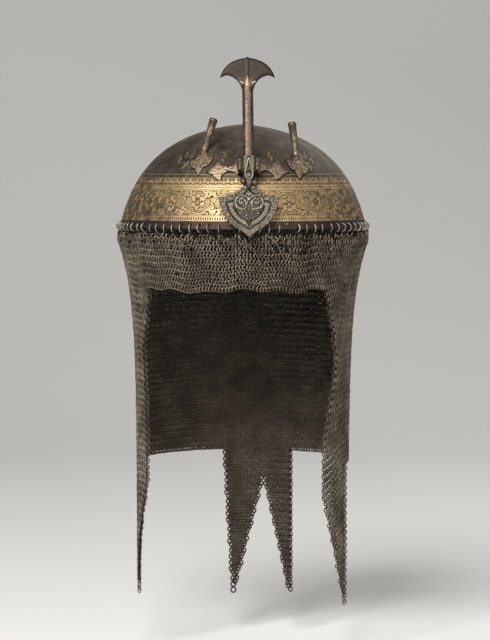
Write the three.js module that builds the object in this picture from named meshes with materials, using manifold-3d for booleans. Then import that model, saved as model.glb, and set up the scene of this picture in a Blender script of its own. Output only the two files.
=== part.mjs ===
// Indo-Persian helmet with a sliding nasal, two plume tubes and a mail curtain.
// Millimetres, +Z up. The origin is the centre of the bowl's rim plane; the front faces -Y.
import * as THREE from 'three';
import { mergeVertices } from 'three/addons/utils/BufferGeometryUtils.js';
import Module from 'manifold-3d';

const wasm = await Module();
wasm.setup();

const GAP = 0.3; // clearance between pieces that touch

// Bowl
const RIM_RADIUS = 104;
const BOWL_HEIGHT = 86;
const BOWL_WALL = 1.5;
const SHOULDER = [92.9, 47.7]; // radius and height of the profile's lower control point
const BROW = [65.8, 80.3]; // and of its upper one
const PROFILE_STEPS = 8;

// Rim holes and the rings that hang from them
const HOLE_COUNT = 80;
const HOLE_HEIGHT = 3.7;
const HOLE_RADIUS = 1.6;
const EMPTY_HOLES = [4, 78]; // holes that have lost their ring, counted from the front to the right
const RING_RADIUS = 3.35; // of the wire's centre line
const WIRE_RADIUS = 0.85;
const RING_LEAN = 15 * Math.PI / 180; // the rings hang a little outwards
const THREAD_SIZE = 1.6; // the first row of mail, which joins the rings

// Mail curtain
const MAIL_THICKNESS = 3;
const MAIL_TOP = -4.1;
const MAIL_TURN = -7; // degrees that the curtain's middle is turned from the bowl's front
const MAIL_LOW_RADIUS = 88;
const MAIL_FLARE = 16.4; // how much wider it is at the rim than low down
const FLARE_START = -12;
const FLARE_LENGTH = 45;
const MAIL_ROWS = 12;
const FOREHEAD_EDGE = -52;
const HEM = -200;
const OPENING_TOP_HALF = 49.5; // degrees; the opening's upper corners are cut off aslant
const OPENING_HALF = 62.5;
const OPENING_CORNER = -102; // where the slanting cut ends
const POINT_TOP = -213;
const FRONT_POINT_WIDTH = 24; // degrees
const FRONT_POINT_TIPS = { left: -316, right: -324 };
const BACK_NOTCH = { around: 172.5, height: -221 };
const BACK_POINT_TIP = -326;
const BACK_POINT_TIPS = [156.2, 190.1]; // degrees round to the two tips
const BACK_POINT_EDGES = [155.4, 194.4]; // and to the outer edges of the points
const SWING = 10; // degrees that the right free edge swings inwards low down
const SWING_SPREAD = 25;
const CUT_WIDTH = 0.7; // degrees over which a vertical cut edge runs
const COLUMN_STEP = 7;

// Nasal, in a frame whose Z runs up along its slide and whose -Y faces forwards
const NASAL_OUT = 111.2; // distance of the bar from the bowl's axis at the rim
const NASAL_LEAN = 14 * Math.PI / 180; // the bar leans back
const BAR_WIDTH = 9;
const BAR_FACET = 4.5; // width of its middle front facet
const BAR_FRONT = 2.5; // its front face ahead of the slide line
const BAR_EDGE = 0.6;
const BAR_BACK = 1.5;
const BAR_BOTTOM = 36;
const FAN_NECK = 118;
const FAN_TOP = 144.6;
const FAN_HALF_WIDTH = 22.5;
const FAN_DROOP = 18; // how far the fan's tips hang below its top
const FAN_THICKNESS = 2.4;
const EYE_SIZE = 2.6; // the two piercings above the fan's neck
const LEAF_TIP = -7;
const LEAF_CORNER = 26.5;
const LEAF_NECK = 35.5;
const LEAF_HALF_WIDTH = 25.2;
const LEAF_NECK_HALF = 5.2;
const LEAF_THICKNESS = 2;
const HEART_HALF_WIDTH = 12.5;
const HEART_RAISE = 1.2;

// Bracket
const SLEEVE_BOTTOM = 47.5;
const SLEEVE_TOP = 60.5;
const SLEEVE_HALF = 5.8;
const SLEEVE_FRONT = 4.1; // ahead of the slide line
const SLEEVE_BACK = 3.4;
const BAR_CLEARANCE = 0.4;
const LOBE_RADIUS = 2.6;
const LOBE_OUT = 7.1; // from the bar's middle to a lobe's middle
const CHEEK_THICKNESS = 2.2;
const CHEEK_REACH = 55; // back from the slide line, before the cheek is cut to the dome
const PLATE_THICKNESS = 1.2; // of the plates that lie on the dome

// Plume holders: which way round, height on the dome, sideways lean of each tube, and how far its
// leaf is turned inwards from straight down the dome
const PLUMES = [
  { side: 'left', around: -30, height: 62, lean: 17, turn: -10 },
  { side: 'right', around: 33, height: 58, lean: -7, turn: 20 },
];
const PLUME_LEAF_LENGTH = 19.5;
const PLUME_LEAF_HALF = 10.2;
const TUBE_LENGTH = 29.5;
const TUBE_TOP_RADIUS = 3.2;
const TUBE_FOOT_RADIUS = 2.3;
const TUBE_LIP = 0.5;
const TUBE_BORE = 2.2;
const TUBE_BORE_DEPTH = 24;
const TUBE_SINK = 6; // the tube's core starts this far inside the dome, and is then cut to it

const STEEL = { color: 0x5a5048, roughness: 0.5, metalness: 0.9 };
const DARK_STEEL = { color: 0x3c3733, roughness: 0.55, metalness: 0.9 };
const MAIL_STEEL = { color: 0x57524a, roughness: 0.6, metalness: 0.85 };
const GILT = { color: 0xa8874a, roughness: 0.4, metalness: 0.95 };

const degrees = THREE.MathUtils.degToRad;

// Booleans

function solidOf(geometry) {
  const bare = geometry.clone();
  bare.deleteAttribute('normal');
  bare.deleteAttribute('uv');
  const merged = mergeVertices(bare, 1e-4);
  const index = merged.index.array;
  const kept = [];
  for (let i = 0; i < index.length; i += 3) {
    const [a, b, c] = index.slice(i, i + 3);
    if (a !== b && b !== c && c !== a) {
      kept.push(a, b, c);
    }
  }
  const vertProperties = merged.attributes.position.array;
  return new wasm.Manifold(new wasm.Mesh({ numProp: 3, vertProperties, triVerts: new Uint32Array(kept) }));
}

function geometryOf(solid) {
  const { vertProperties, triVerts } = solid.getMesh();
  const geometry = new THREE.BufferGeometry();
  geometry.setAttribute('position', new THREE.BufferAttribute(vertProperties, 3));
  geometry.setIndex(new THREE.BufferAttribute(triVerts, 1));
  return geometry;
}

function joined(geometries) {
  return geometries.map(solidOf).reduce((whole, piece) => whole.add(piece));
}

function meshOf(name, solid, finish) {
  const geometry = geometryOf(solid);
  geometry.computeVertexNormals();
  const mesh = new THREE.Mesh(geometry, new THREE.MeshStandardMaterial(finish));
  mesh.name = name;
  return mesh;
}

// The dome's shape

const domeCurve = new THREE.CubicBezierCurve(
  new THREE.Vector2(RIM_RADIUS, 0),
  new THREE.Vector2(...SHOULDER),
  new THREE.Vector2(...BROW),
  new THREE.Vector2(0, BOWL_HEIGHT),
);

function profileAt(offset) {
  const points = [];
  for (let i = 0; i <= PROFILE_STEPS; i += 1) {
    const t = i / PROFILE_STEPS;
    const point = domeCurve.getPoint(t);
    const along = domeCurve.getTangent(t);
    point.add(new THREE.Vector2(along.y, -along.x).multiplyScalar(offset));
    points.push(point);
  }
  points[0].y = 0;
  points[PROFILE_STEPS].x = 0;
  return points;
}

function turned(points) {
  const geometry = new THREE.LatheGeometry(points, HOLE_COUNT, Math.PI / HOLE_COUNT);
  return geometry.rotateX(Math.PI / 2);
}

function domeShell(inner, outer) {
  const inside = profileAt(inner).reverse();
  const outside = profileAt(outer);
  return solidOf(turned([...outside, ...inside, outside[0].clone()]));
}

function domeCore(offset) {
  const outline = profileAt(offset);
  return solidOf(turned([new THREE.Vector2(0, 0), ...outline]));
}

function domeRadius(height) {
  let low = 0;
  let high = 1;
  for (let i = 0; i < 40; i += 1) {
    const middle = (low + high) / 2;
    if (domeCurve.getPoint(middle).y < height) {
      low = middle;
    } else {
      high = middle;
    }
  }
  return domeCurve.getPoint(low).x;
}

// A wall between an upper and a lower edge, given as columns around the vertical axis

function wall({ columns, rows, thickness, radiusAt, closed }) {
  const positions = [];
  for (const { around, top, bottom, swayAt } of columns) {
    for (let row = 0; row <= rows; row += 1) {
      const z = top + (bottom - top) * row / rows;
      const angle = degrees(around + (swayAt ? swayAt(z) : 0));
      for (const side of [0.5, -0.5]) {
        const radius = radiusAt(angle, z) + side * thickness;
        positions.push(radius * Math.sin(angle), -radius * Math.cos(angle), z);
      }
    }
  }
  const index = [];
  const at = (column, row, side) => ((column % columns.length) * (rows + 1) + row) * 2 + side;
  const quad = (a, b, c, d) => index.push(a, b, c, a, c, d);
  const last = closed ? columns.length : columns.length - 1;
  for (let i = 0; i < last; i += 1) {
    for (let row = 0; row < rows; row += 1) {
      quad(at(i, row, 0), at(i, row + 1, 0), at(i + 1, row + 1, 0), at(i + 1, row, 0));
      quad(at(i, row, 1), at(i + 1, row, 1), at(i + 1, row + 1, 1), at(i, row + 1, 1));
    }
    quad(at(i, 0, 1), at(i, 0, 0), at(i + 1, 0, 0), at(i + 1, 0, 1));
    quad(at(i, rows, 0), at(i, rows, 1), at(i + 1, rows, 1), at(i + 1, rows, 0));
  }
  if (!closed) {
    for (let row = 0; row < rows; row += 1) {
      quad(at(0, row, 0), at(0, row, 1), at(0, row + 1, 1), at(0, row + 1, 0));
      quad(at(last, row, 1), at(last, row, 0), at(last, row + 1, 0), at(last, row + 1, 1));
    }
  }
  const geometry = new THREE.BufferGeometry();
  geometry.setAttribute('position', new THREE.Float32BufferAttribute(positions, 3));
  geometry.setIndex(index);
  return geometry;
}

// Bowl, with a hole for each hanging ring

function bowl() {
  let solid = domeShell(-BOWL_WALL, 0);
  for (let i = 0; i < HOLE_COUNT; i += 1) {
    const angle = i * 2 * Math.PI / HOLE_COUNT;
    const drill = new THREE.CylinderGeometry(HOLE_RADIUS, HOLE_RADIUS, 10, 6);
    drill.translate(0, -RIM_RADIUS, HOLE_HEIGHT);
    drill.rotateZ(angle);
    solid = solid.subtract(solidOf(drill));
  }
  return meshOf('bowl', solid, STEEL);
}

// Hanging rings, joined along the first row of mail in four solids

const HANG_RADIUS = domeRadius(HOLE_HEIGHT) - BOWL_WALL / 2; // where a ring passes through the wall
const THREAD_RADIUS = HANG_RADIUS + 2 * RING_RADIUS * Math.sin(RING_LEAN);
const THREAD_HEIGHT = HOLE_HEIGHT - 2 * RING_RADIUS * Math.cos(RING_LEAN);

function hangingRing(index) {
  const sides = 6;
  const reach = RING_RADIUS / Math.cos(Math.PI / sides);
  const ring = new THREE.TorusGeometry(reach, WIRE_RADIUS, 3, sides);
  ring.rotateZ(Math.PI / sides);
  ring.translate(0, -RING_RADIUS, 0);
  ring.rotateZ(RING_LEAN);
  ring.rotateX(Math.PI / 2);
  ring.translate(HANG_RADIUS, 0, HOLE_HEIGHT);
  return ring.rotateZ(index * 2 * Math.PI / HOLE_COUNT - Math.PI / 2);
}

function hangingRings(name, first, count) {
  const pitch = 360 / HOLE_COUNT;
  const columns = [];
  for (let i = -0.4; i <= count - 0.5; i += 1) {
    const top = THREAD_HEIGHT + THREAD_SIZE / 2;
    columns.push({ around: (first + i) * pitch, top, bottom: top - THREAD_SIZE });
  }
  columns.at(-1).around = (first + count - 0.6) * pitch;
  const thread = wall({ columns, rows: 1, thickness: THREAD_SIZE, radiusAt: () => THREAD_RADIUS });
  let solid = solidOf(thread);
  for (let i = first; i < first + count; i += 1) {
    if (!EMPTY_HOLES.includes((i + HOLE_COUNT) % HOLE_COUNT)) {
      solid = solid.add(solidOf(hangingRing(i)));
    }
  }
  return meshOf(name, solid, MAIL_STEEL);
}

// Mail curtain

function mailRadius(angle, z) {
  const flare = MAIL_FLARE * Math.exp(-Math.max(0, FLARE_START - z) / FLARE_LENGTH);
  const depth = THREE.MathUtils.smoothstep(-z, 30, 190);
  const folds = Math.cos(3 * angle + 0.7) + Math.cos(5 * angle + 2) + 0.8 * Math.cos(9 * angle);
  return MAIL_LOW_RADIUS + flare + depth * folds;
}

// The curtain's right free edge swings inwards as it falls.
function mailSway(around) {
  const near = Math.exp(-(((around - OPENING_HALF) / SWING_SPREAD) ** 2));
  return (z) => -SWING * near * THREE.MathUtils.smoothstep(-z, 115, 185);
}

// Corners of the curtain's lower edge, from one free edge round the back to the other
function mailCorners() {
  const tip = OPENING_HALF + FRONT_POINT_WIDTH;
  const [rightEdge, leftEdge] = BACK_POINT_EDGES;
  const [rightTip, leftTip] = BACK_POINT_TIPS;
  return [
    [OPENING_TOP_HALF, FOREHEAD_EDGE],
    [OPENING_HALF - CUT_WIDTH, OPENING_CORNER],
    [OPENING_HALF, POINT_TOP],
    [tip, FRONT_POINT_TIPS.right],
    [tip + CUT_WIDTH, HEM],
    [rightEdge - CUT_WIDTH, HEM],
    [rightEdge, BACK_POINT_TIP + 5],
    [rightTip, BACK_POINT_TIP],
    [BACK_NOTCH.around, BACK_NOTCH.height],
    [leftTip, BACK_POINT_TIP],
    [leftEdge, POINT_TOP],
    [leftEdge + CUT_WIDTH, HEM],
    [360 - tip - CUT_WIDTH, HEM],
    [360 - tip, FRONT_POINT_TIPS.left],
    [360 - OPENING_HALF, POINT_TOP],
    [360 - OPENING_HALF + CUT_WIDTH, OPENING_CORNER],
    [360 - OPENING_TOP_HALF, FOREHEAD_EDGE],
    [360 + OPENING_TOP_HALF, FOREHEAD_EDGE],
  ];
}

function mailColumns() {
  const corners = mailCorners();
  const columns = [];
  for (let i = 1; i < corners.length; i += 1) {
    const [from, high] = corners[i - 1];
    const [to, low] = corners[i];
    const steps = Math.ceil((to - from) / COLUMN_STEP);
    for (let step = 0; step < steps; step += 1) {
      const share = step / steps;
      const around = from + (to - from) * share;
      const ripple = high === FOREHEAD_EDGE && low === high ? 1.2 * Math.sin(0.34 * around) : 0;
      columns.push({ around, bottom: high + (low - high) * share + ripple });
    }
  }
  return columns;
}

function mailCurtain() {
  const columns = mailColumns().map(({ around, bottom }) => ({
    around: around + MAIL_TURN,
    top: MAIL_TOP,
    bottom,
    swayAt: mailSway(around > 180 ? around - 360 : around),
  }));
  const sheet = wall({
    columns,
    rows: MAIL_ROWS,
    thickness: MAIL_THICKNESS,
    radiusAt: mailRadius,
    closed: true,
  });
  return meshOf('mail_curtain', solidOf(sheet), MAIL_STEEL);
}

// Outlines are drawn in X and Z, and stand upright with their thickness in Y. A mirrored outline is
// given as its right half, from the middle on: straight edges by their end, curved ones by their
// control point and their end.

function mirrored(start, edges) {
  const shape = new THREE.Shape();
  const corners = [start, ...edges.map((edge) => edge.slice(-2))];
  shape.moveTo(...start);
  for (const edge of edges) {
    if (edge.length === 4) {
      shape.quadraticCurveTo(...edge);
    } else {
      shape.lineTo(...edge);
    }
  }
  const [lastX, lastZ] = corners.at(-1);
  shape.lineTo(-lastX, lastZ);
  for (let i = edges.length - 1; i >= 0; i -= 1) {
    const [x, z] = corners[i];
    if (edges[i].length === 4) {
      shape.quadraticCurveTo(-edges[i][0], edges[i][1], -x, z);
    } else {
      shape.lineTo(-x, z);
    }
  }
  return shape;
}

function upright(shape, back, front) {
  const options = { depth: front - back, bevelEnabled: false, curveSegments: 6 };
  const slab = new THREE.ExtrudeGeometry(shape, options);
  return slab.rotateX(Math.PI / 2).translate(0, -back, 0);
}

function box(width, back, front, bottom, top, x = 0) {
  const block = new THREE.BoxGeometry(width, front - back, top - bottom);
  return block.translate(x, -(front + back) / 2, (top + bottom) / 2);
}

// Nasal: bar and fan

function barSection(margin) {
  const half = BAR_WIDTH / 2 + margin;
  const facet = BAR_FACET / 2 + margin / 2;
  const outline = new THREE.Shape();
  outline.moveTo(-half, BAR_BACK + margin);
  outline.lineTo(half, BAR_BACK + margin);
  outline.lineTo(half, -BAR_EDGE);
  outline.lineTo(facet, -BAR_FRONT - margin);
  outline.lineTo(-facet, -BAR_FRONT - margin);
  outline.lineTo(-half, -BAR_EDGE);
  outline.closePath();
  return outline;
}

function barBetween(bottom, top, margin) {
  const bar = new THREE.ExtrudeGeometry(barSection(margin), { depth: top - bottom, bevelEnabled: false });
  return bar.translate(0, 0, bottom);
}

function fanOutline() {
  const tip = FAN_TOP - FAN_DROOP;
  const half = BAR_WIDTH / 2;
  const fan = mirrored([0, FAN_NECK - 2], [
    [half, FAN_NECK - 2],
    [half + 3, tip + 1, FAN_HALF_WIDTH - 5, tip + 2.2],
    [FAN_HALF_WIDTH, tip],
    [FAN_HALF_WIDTH - 4, FAN_TOP - 3, 1.6, FAN_TOP - 1],
    [0, FAN_TOP],
  ]);
  for (const side of [-1, 1]) {
    const eye = new THREE.Path();
    const x = side * (half + 0.4);
    const z = FAN_NECK + 6;
    eye.moveTo(x - side * EYE_SIZE / 2, z);
    eye.lineTo(x + side * EYE_SIZE / 2, z + 0.6);
    eye.lineTo(x, z + EYE_SIZE);
    fan.holes.push(eye);
  }
  return fan;
}

function nasalBar() {
  const fan = upright(fanOutline(), -FAN_THICKNESS / 2, FAN_THICKNESS / 2);
  return meshOf('nasal_bar', joined([barBetween(BAR_BOTTOM, FAN_NECK, 0), fan]), DARK_STEEL);
}

// Nasal: leaf with a raised heart and a trefoil collar

function leafOutline() {
  return mirrored([0, LEAF_TIP], [
    [14.5, LEAF_TIP + 9.5, LEAF_HALF_WIDTH - 3.6, LEAF_TIP + 21],
    [LEAF_HALF_WIDTH, LEAF_CORNER],
    [13, LEAF_CORNER, LEAF_NECK_HALF, LEAF_NECK],
  ]);
}

function heartOutline() {
  const low = LEAF_TIP + 7;
  const wide = LEAF_CORNER - 5;
  return mirrored([0, low], [
    [HEART_HALF_WIDTH, low + 9, HEART_HALF_WIDTH, wide - 3],
    [HEART_HALF_WIDTH - 1, wide + 6, 0, wide + 4],
  ]);
}

function collarOutline() {
  const collar = new THREE.Shape();
  collar.moveTo(0, LEAF_CORNER + 3);
  collar.lineTo(3, LEAF_NECK);
  collar.absarc(5.2, LEAF_NECK + 3.2, 2.6, -Math.PI / 2, Math.PI / 2, false);
  collar.lineTo(-5.2, LEAF_NECK + 5.8);
  collar.absarc(-5.2, LEAF_NECK + 3.2, 2.6, Math.PI / 2, 3 * Math.PI / 2, false);
  collar.lineTo(-3, LEAF_NECK);
  collar.closePath();
  return collar;
}

function nasalLeaf() {
  const half = LEAF_THICKNESS / 2;
  const leaf = upright(leafOutline(), -half, half);
  const heart = upright(heartOutline(), 0, half + HEART_RAISE);
  const collar = upright(collarOutline(), 0, BAR_FRONT + GAP + 1.6);
  const seat = barBetween(BAR_BOTTOM - GAP, SLEEVE_TOP, GAP);
  return meshOf('nasal_leaf', joined([leaf, heart, collar]).subtract(solidOf(seat)), STEEL);
}

// Bracket, shaped in the nasal's frame

function intoNasalFrame(geometry) {
  return geometry.rotateX(-NASAL_LEAN).translate(0, -NASAL_OUT, 0);
}

// The plate on the dome behind the sleeve: two scalloped wings
function wingOutline() {
  return mirrored([0, 43.5], [
    [9, 43.5],
    [14, 49.5, 20.5, 43.2],
    [22.3, 38.9],
    [26.5, 39.6, 30, 43.8],
    [34.6, 45],
    [27, 51, 23.6, 56],
    [22.5, 51.5, 16, 51.3],
    [11, 51.3, 9, 56],
  ]);
}

function nasalBracket() {
  const plate = domeShell(GAP, GAP + PLATE_THICKNESS)
    .intersect(solidOf(upright(wingOutline(), 40, RIM_RADIUS)));
  let frame = solidOf(intoNasalFrame(
    box(2 * SLEEVE_HALF, -SLEEVE_BACK, SLEEVE_FRONT, SLEEVE_BOTTOM, SLEEVE_TOP),
  ));
  for (const side of [-1, 1]) {
    const lobe = new THREE.CylinderGeometry(LOBE_RADIUS, LOBE_RADIUS, SLEEVE_TOP - SLEEVE_BOTTOM, 12);
    lobe.rotateX(Math.PI / 2);
    lobe.translate(side * LOBE_OUT, -0.4, (SLEEVE_TOP + SLEEVE_BOTTOM) / 2);
    const x = side * LOBE_OUT;
    const cheek = box(CHEEK_THICKNESS, -CHEEK_REACH, 0.4, SLEEVE_BOTTOM + 1, SLEEVE_TOP - 1, x);
    frame = frame.add(solidOf(intoNasalFrame(lobe))).add(solidOf(intoNasalFrame(cheek)));
  }
  const channel = solidOf(intoNasalFrame(barBetween(SLEEVE_BOTTOM - 5, SLEEVE_TOP + 5, BAR_CLEARANCE)));
  const bracket = frame.subtract(domeCore(GAP + PLATE_THICKNESS / 2)).add(plate).subtract(channel);
  return meshOf('nasal_bracket', bracket, GILT);
}

// Wishbone catch in front of the sleeve, with its rivet and its button

const CATCH_TOP = 57.5;
const CATCH_TOP_HALF = 1.7;
const CATCH_BUTTON = 42.5;
const CATCH_LOOP = 3.3; // radius of its lower end
const CATCH_THICKNESS = 1.3;

function catchHead(top, foot, length, z) {
  const back = SLEEVE_FRONT + GAP + CATCH_THICKNESS - 0.1;
  return new THREE.CylinderGeometry(top, foot, length, 10).rotateX(Math.PI).translate(0, -back - length / 2, z);
}

function nasalCatch() {
  const back = SLEEVE_FRONT + GAP;
  const outline = new THREE.Shape();
  outline.moveTo(-CATCH_TOP_HALF, CATCH_TOP);
  outline.lineTo(-2.9, CATCH_BUTTON + 3);
  outline.absarc(0, CATCH_BUTTON, CATCH_LOOP, Math.PI * 0.85, Math.PI * 2.15, false);
  outline.lineTo(CATCH_TOP_HALF, CATCH_TOP);
  outline.absarc(0, CATCH_TOP, CATCH_TOP_HALF, 0, Math.PI, false);
  const slot = new THREE.Path();
  slot.moveTo(-0.5, CATCH_TOP - 3);
  slot.lineTo(0.5, CATCH_TOP - 3);
  slot.lineTo(1.2, CATCH_BUTTON + 3.5);
  slot.lineTo(-1.2, CATCH_BUTTON + 3.5);
  outline.holes.push(slot);
  const pieces = [
    upright(outline, back, back + CATCH_THICKNESS),
    catchHead(1, 1.3, 1, CATCH_TOP - 0.3),
    catchHead(0.9, 1.5, 1.8, CATCH_BUTTON),
  ];
  return meshOf('nasal_catch', joined(pieces.map(intoNasalFrame)), DARK_STEEL);
}

// Plume holders

function plumeLeaf({ around, height, turn }) {
  const leaf = mirrored([0, -PLUME_LEAF_LENGTH], [
    [3.2, 3.5 - PLUME_LEAF_LENGTH, 3.6, 5.8 - PLUME_LEAF_LENGTH],
    [5.2, 6.2 - PLUME_LEAF_LENGTH],
    [9.4, 8 - PLUME_LEAF_LENGTH, PLUME_LEAF_HALF, -6],
    [3.8, -6, 2.8, 1],
  ]);
  const cutter = upright(leaf, 30, RIM_RADIUS).rotateY(degrees(turn)).translate(0, 0, height);
  cutter.rotateZ(degrees(around));
  return domeShell(GAP, GAP + PLATE_THICKNESS).intersect(solidOf(cutter));
}

function plumeTube({ around, height, lean }) {
  const rim = TUBE_TOP_RADIUS + TUBE_LIP;
  const profile = [
    [0, -TUBE_SINK],
    [TUBE_FOOT_RADIUS, -TUBE_SINK],
    [TUBE_FOOT_RADIUS, 2],
    [TUBE_TOP_RADIUS - 0.2, TUBE_LENGTH / 2],
    [TUBE_TOP_RADIUS, TUBE_LENGTH - 3],
    [rim, TUBE_LENGTH - 1.8],
    [rim, TUBE_LENGTH - 0.6],
    [rim - 0.6, TUBE_LENGTH],
    [TUBE_BORE, TUBE_LENGTH],
    [TUBE_FOOT_RADIUS / 2, TUBE_LENGTH - TUBE_BORE_DEPTH],
    [0, TUBE_LENGTH - TUBE_BORE_DEPTH],
  ].map(([radius, z]) => new THREE.Vector2(radius, z));
  const tube = new THREE.LatheGeometry(profile, 14).rotateX(Math.PI / 2);
  const radius = domeRadius(height) + PLATE_THICKNESS + 2 * GAP;
  const angle = degrees(around);
  tube.rotateY(degrees(lean));
  tube.translate(radius * Math.sin(angle), -radius * Math.cos(angle), height);
  return solidOf(tube).subtract(domeCore(2 * GAP + PLATE_THICKNESS));
}

// The helmet

const helmet = new THREE.Group();
helmet.add(bowl());
const quarter = HOLE_COUNT / 4;
['front', 'right', 'back', 'left'].forEach((name, i) => {
  helmet.add(hangingRings(`hanging_rings_${name}`, (i - 0.5) * quarter, quarter));
});
helmet.add(mailCurtain());
helmet.add(nasalBracket());
helmet.add(nasalCatch());
for (const plume of PLUMES) {
  helmet.add(meshOf(`plume_base_${plume.side}`, plumeLeaf(plume), GILT));
  helmet.add(meshOf(`plume_tube_${plume.side}`, plumeTube(plume), GILT));
}

const nasal = new THREE.Group();
nasal.position.set(0, -NASAL_OUT, 0);
nasal.rotation.x = -NASAL_LEAN;
nasal.add(nasalBar());
nasal.add(nasalLeaf());
helmet.add(nasal);

export default helmet;
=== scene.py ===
"""An Indo-Persian mail helmet: damascened bowl, sliding nasal, plume tubes and a hanging mail curtain.

Lengths in the classes are millimetres in the helmet's own frame: +Z up, the front towards -Y, the
origin at the centre of the bowl's rim. Meshes are written in metres.
"""

from __future__ import annotations

import logging
import math
import sys
from collections.abc import Callable
from dataclasses import dataclass, replace
from enum import Enum

import bmesh
import bpy
import numpy as np
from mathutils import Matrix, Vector

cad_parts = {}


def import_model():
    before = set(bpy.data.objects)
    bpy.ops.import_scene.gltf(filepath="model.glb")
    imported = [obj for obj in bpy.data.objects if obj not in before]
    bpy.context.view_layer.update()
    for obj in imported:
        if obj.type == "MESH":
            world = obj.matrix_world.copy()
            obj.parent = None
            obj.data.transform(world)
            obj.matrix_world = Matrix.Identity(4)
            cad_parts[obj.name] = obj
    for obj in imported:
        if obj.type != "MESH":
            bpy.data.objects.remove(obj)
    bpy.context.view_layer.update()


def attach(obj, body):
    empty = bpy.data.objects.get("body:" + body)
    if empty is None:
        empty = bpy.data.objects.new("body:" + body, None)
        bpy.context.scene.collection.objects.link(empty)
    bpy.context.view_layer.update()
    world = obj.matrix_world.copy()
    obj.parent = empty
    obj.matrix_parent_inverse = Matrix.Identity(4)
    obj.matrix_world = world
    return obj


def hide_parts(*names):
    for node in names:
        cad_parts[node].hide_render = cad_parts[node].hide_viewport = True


LOG = logging.getLogger("helmet")
MM = 0.001
TURN = 2 * math.pi
Array = np.ndarray
Span = tuple[float, float]
Colour = tuple[float, float, float]


class Body(Enum):
    """The two rigid bodies that pieces ride on."""

    HELMET = "helmet"
    NASAL = "nasal"


# ---- Shader arithmetic ----


def maths(operation: str) -> Callable[..., "Signal"]:
    """Makes a method of Signal that feeds it and further inputs to one Math node.

    Args:
        operation: the Math node's operation.

    Returns:
        The method.
    """

    def method(self: "Signal", *others: "Signal | float") -> "Signal":
        """The Math node's result."""
        return self.bench.math(operation, self, *others)

    return method


class Signal:
    """A number that varies over a surface, held as an output socket of a material's nodes."""

    __add__ = __radd__ = maths("ADD")
    __sub__ = maths("SUBTRACT")
    __mul__ = __rmul__ = maths("MULTIPLY")
    __truediv__ = maths("DIVIDE")
    abs = maths("ABSOLUTE")
    part = maths("FRACT")
    sin = maths("SINE")
    cos = maths("COSINE")
    root = maths("SQRT")
    under = maths("MINIMUM")
    over = maths("MAXIMUM")

    def __init__(self, bench: "Bench", socket: bpy.types.NodeSocket) -> None:
        """Keeps the socket and the bench that it belongs to."""
        self.bench = bench
        self.socket = socket

    def __rsub__(self, other: float) -> "Signal":
        """Difference, from the right."""
        return self.bench.math("SUBTRACT", other, self)

    def cell(self, pitch: float, shift: float = 0.0) -> "Signal":
        """Place within equal cells, from the middle of each.

        Args:
            pitch: a cell's length.
            shift: what share of a cell the cells are moved by.

        Returns:
            The distance from the middle of the cell.
        """
        return ((self / pitch + shift).part() - 0.5) * pitch

    def ramp(self, low: float, high: float, first: float = 0.0, last: float = 1.0) -> "Signal":
        """Smoothly turns low into first and high into last.

        Args:
            low: where the rise starts.
            high: where it ends.
            first: the value before it.
            last: the value after it.

        Returns:
            The eased signal.
        """
        node = self.bench.add("ShaderNodeMapRange")
        node.interpolation_type = "SMOOTHSTEP"
        inputs = {"Value": self, "From Min": low, "From Max": high, "To Min": first, "To Max": last}
        for name, value in inputs.items():
            self.bench.link(value, node.inputs[name])
        return Signal(self.bench, node.outputs["Result"])


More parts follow.
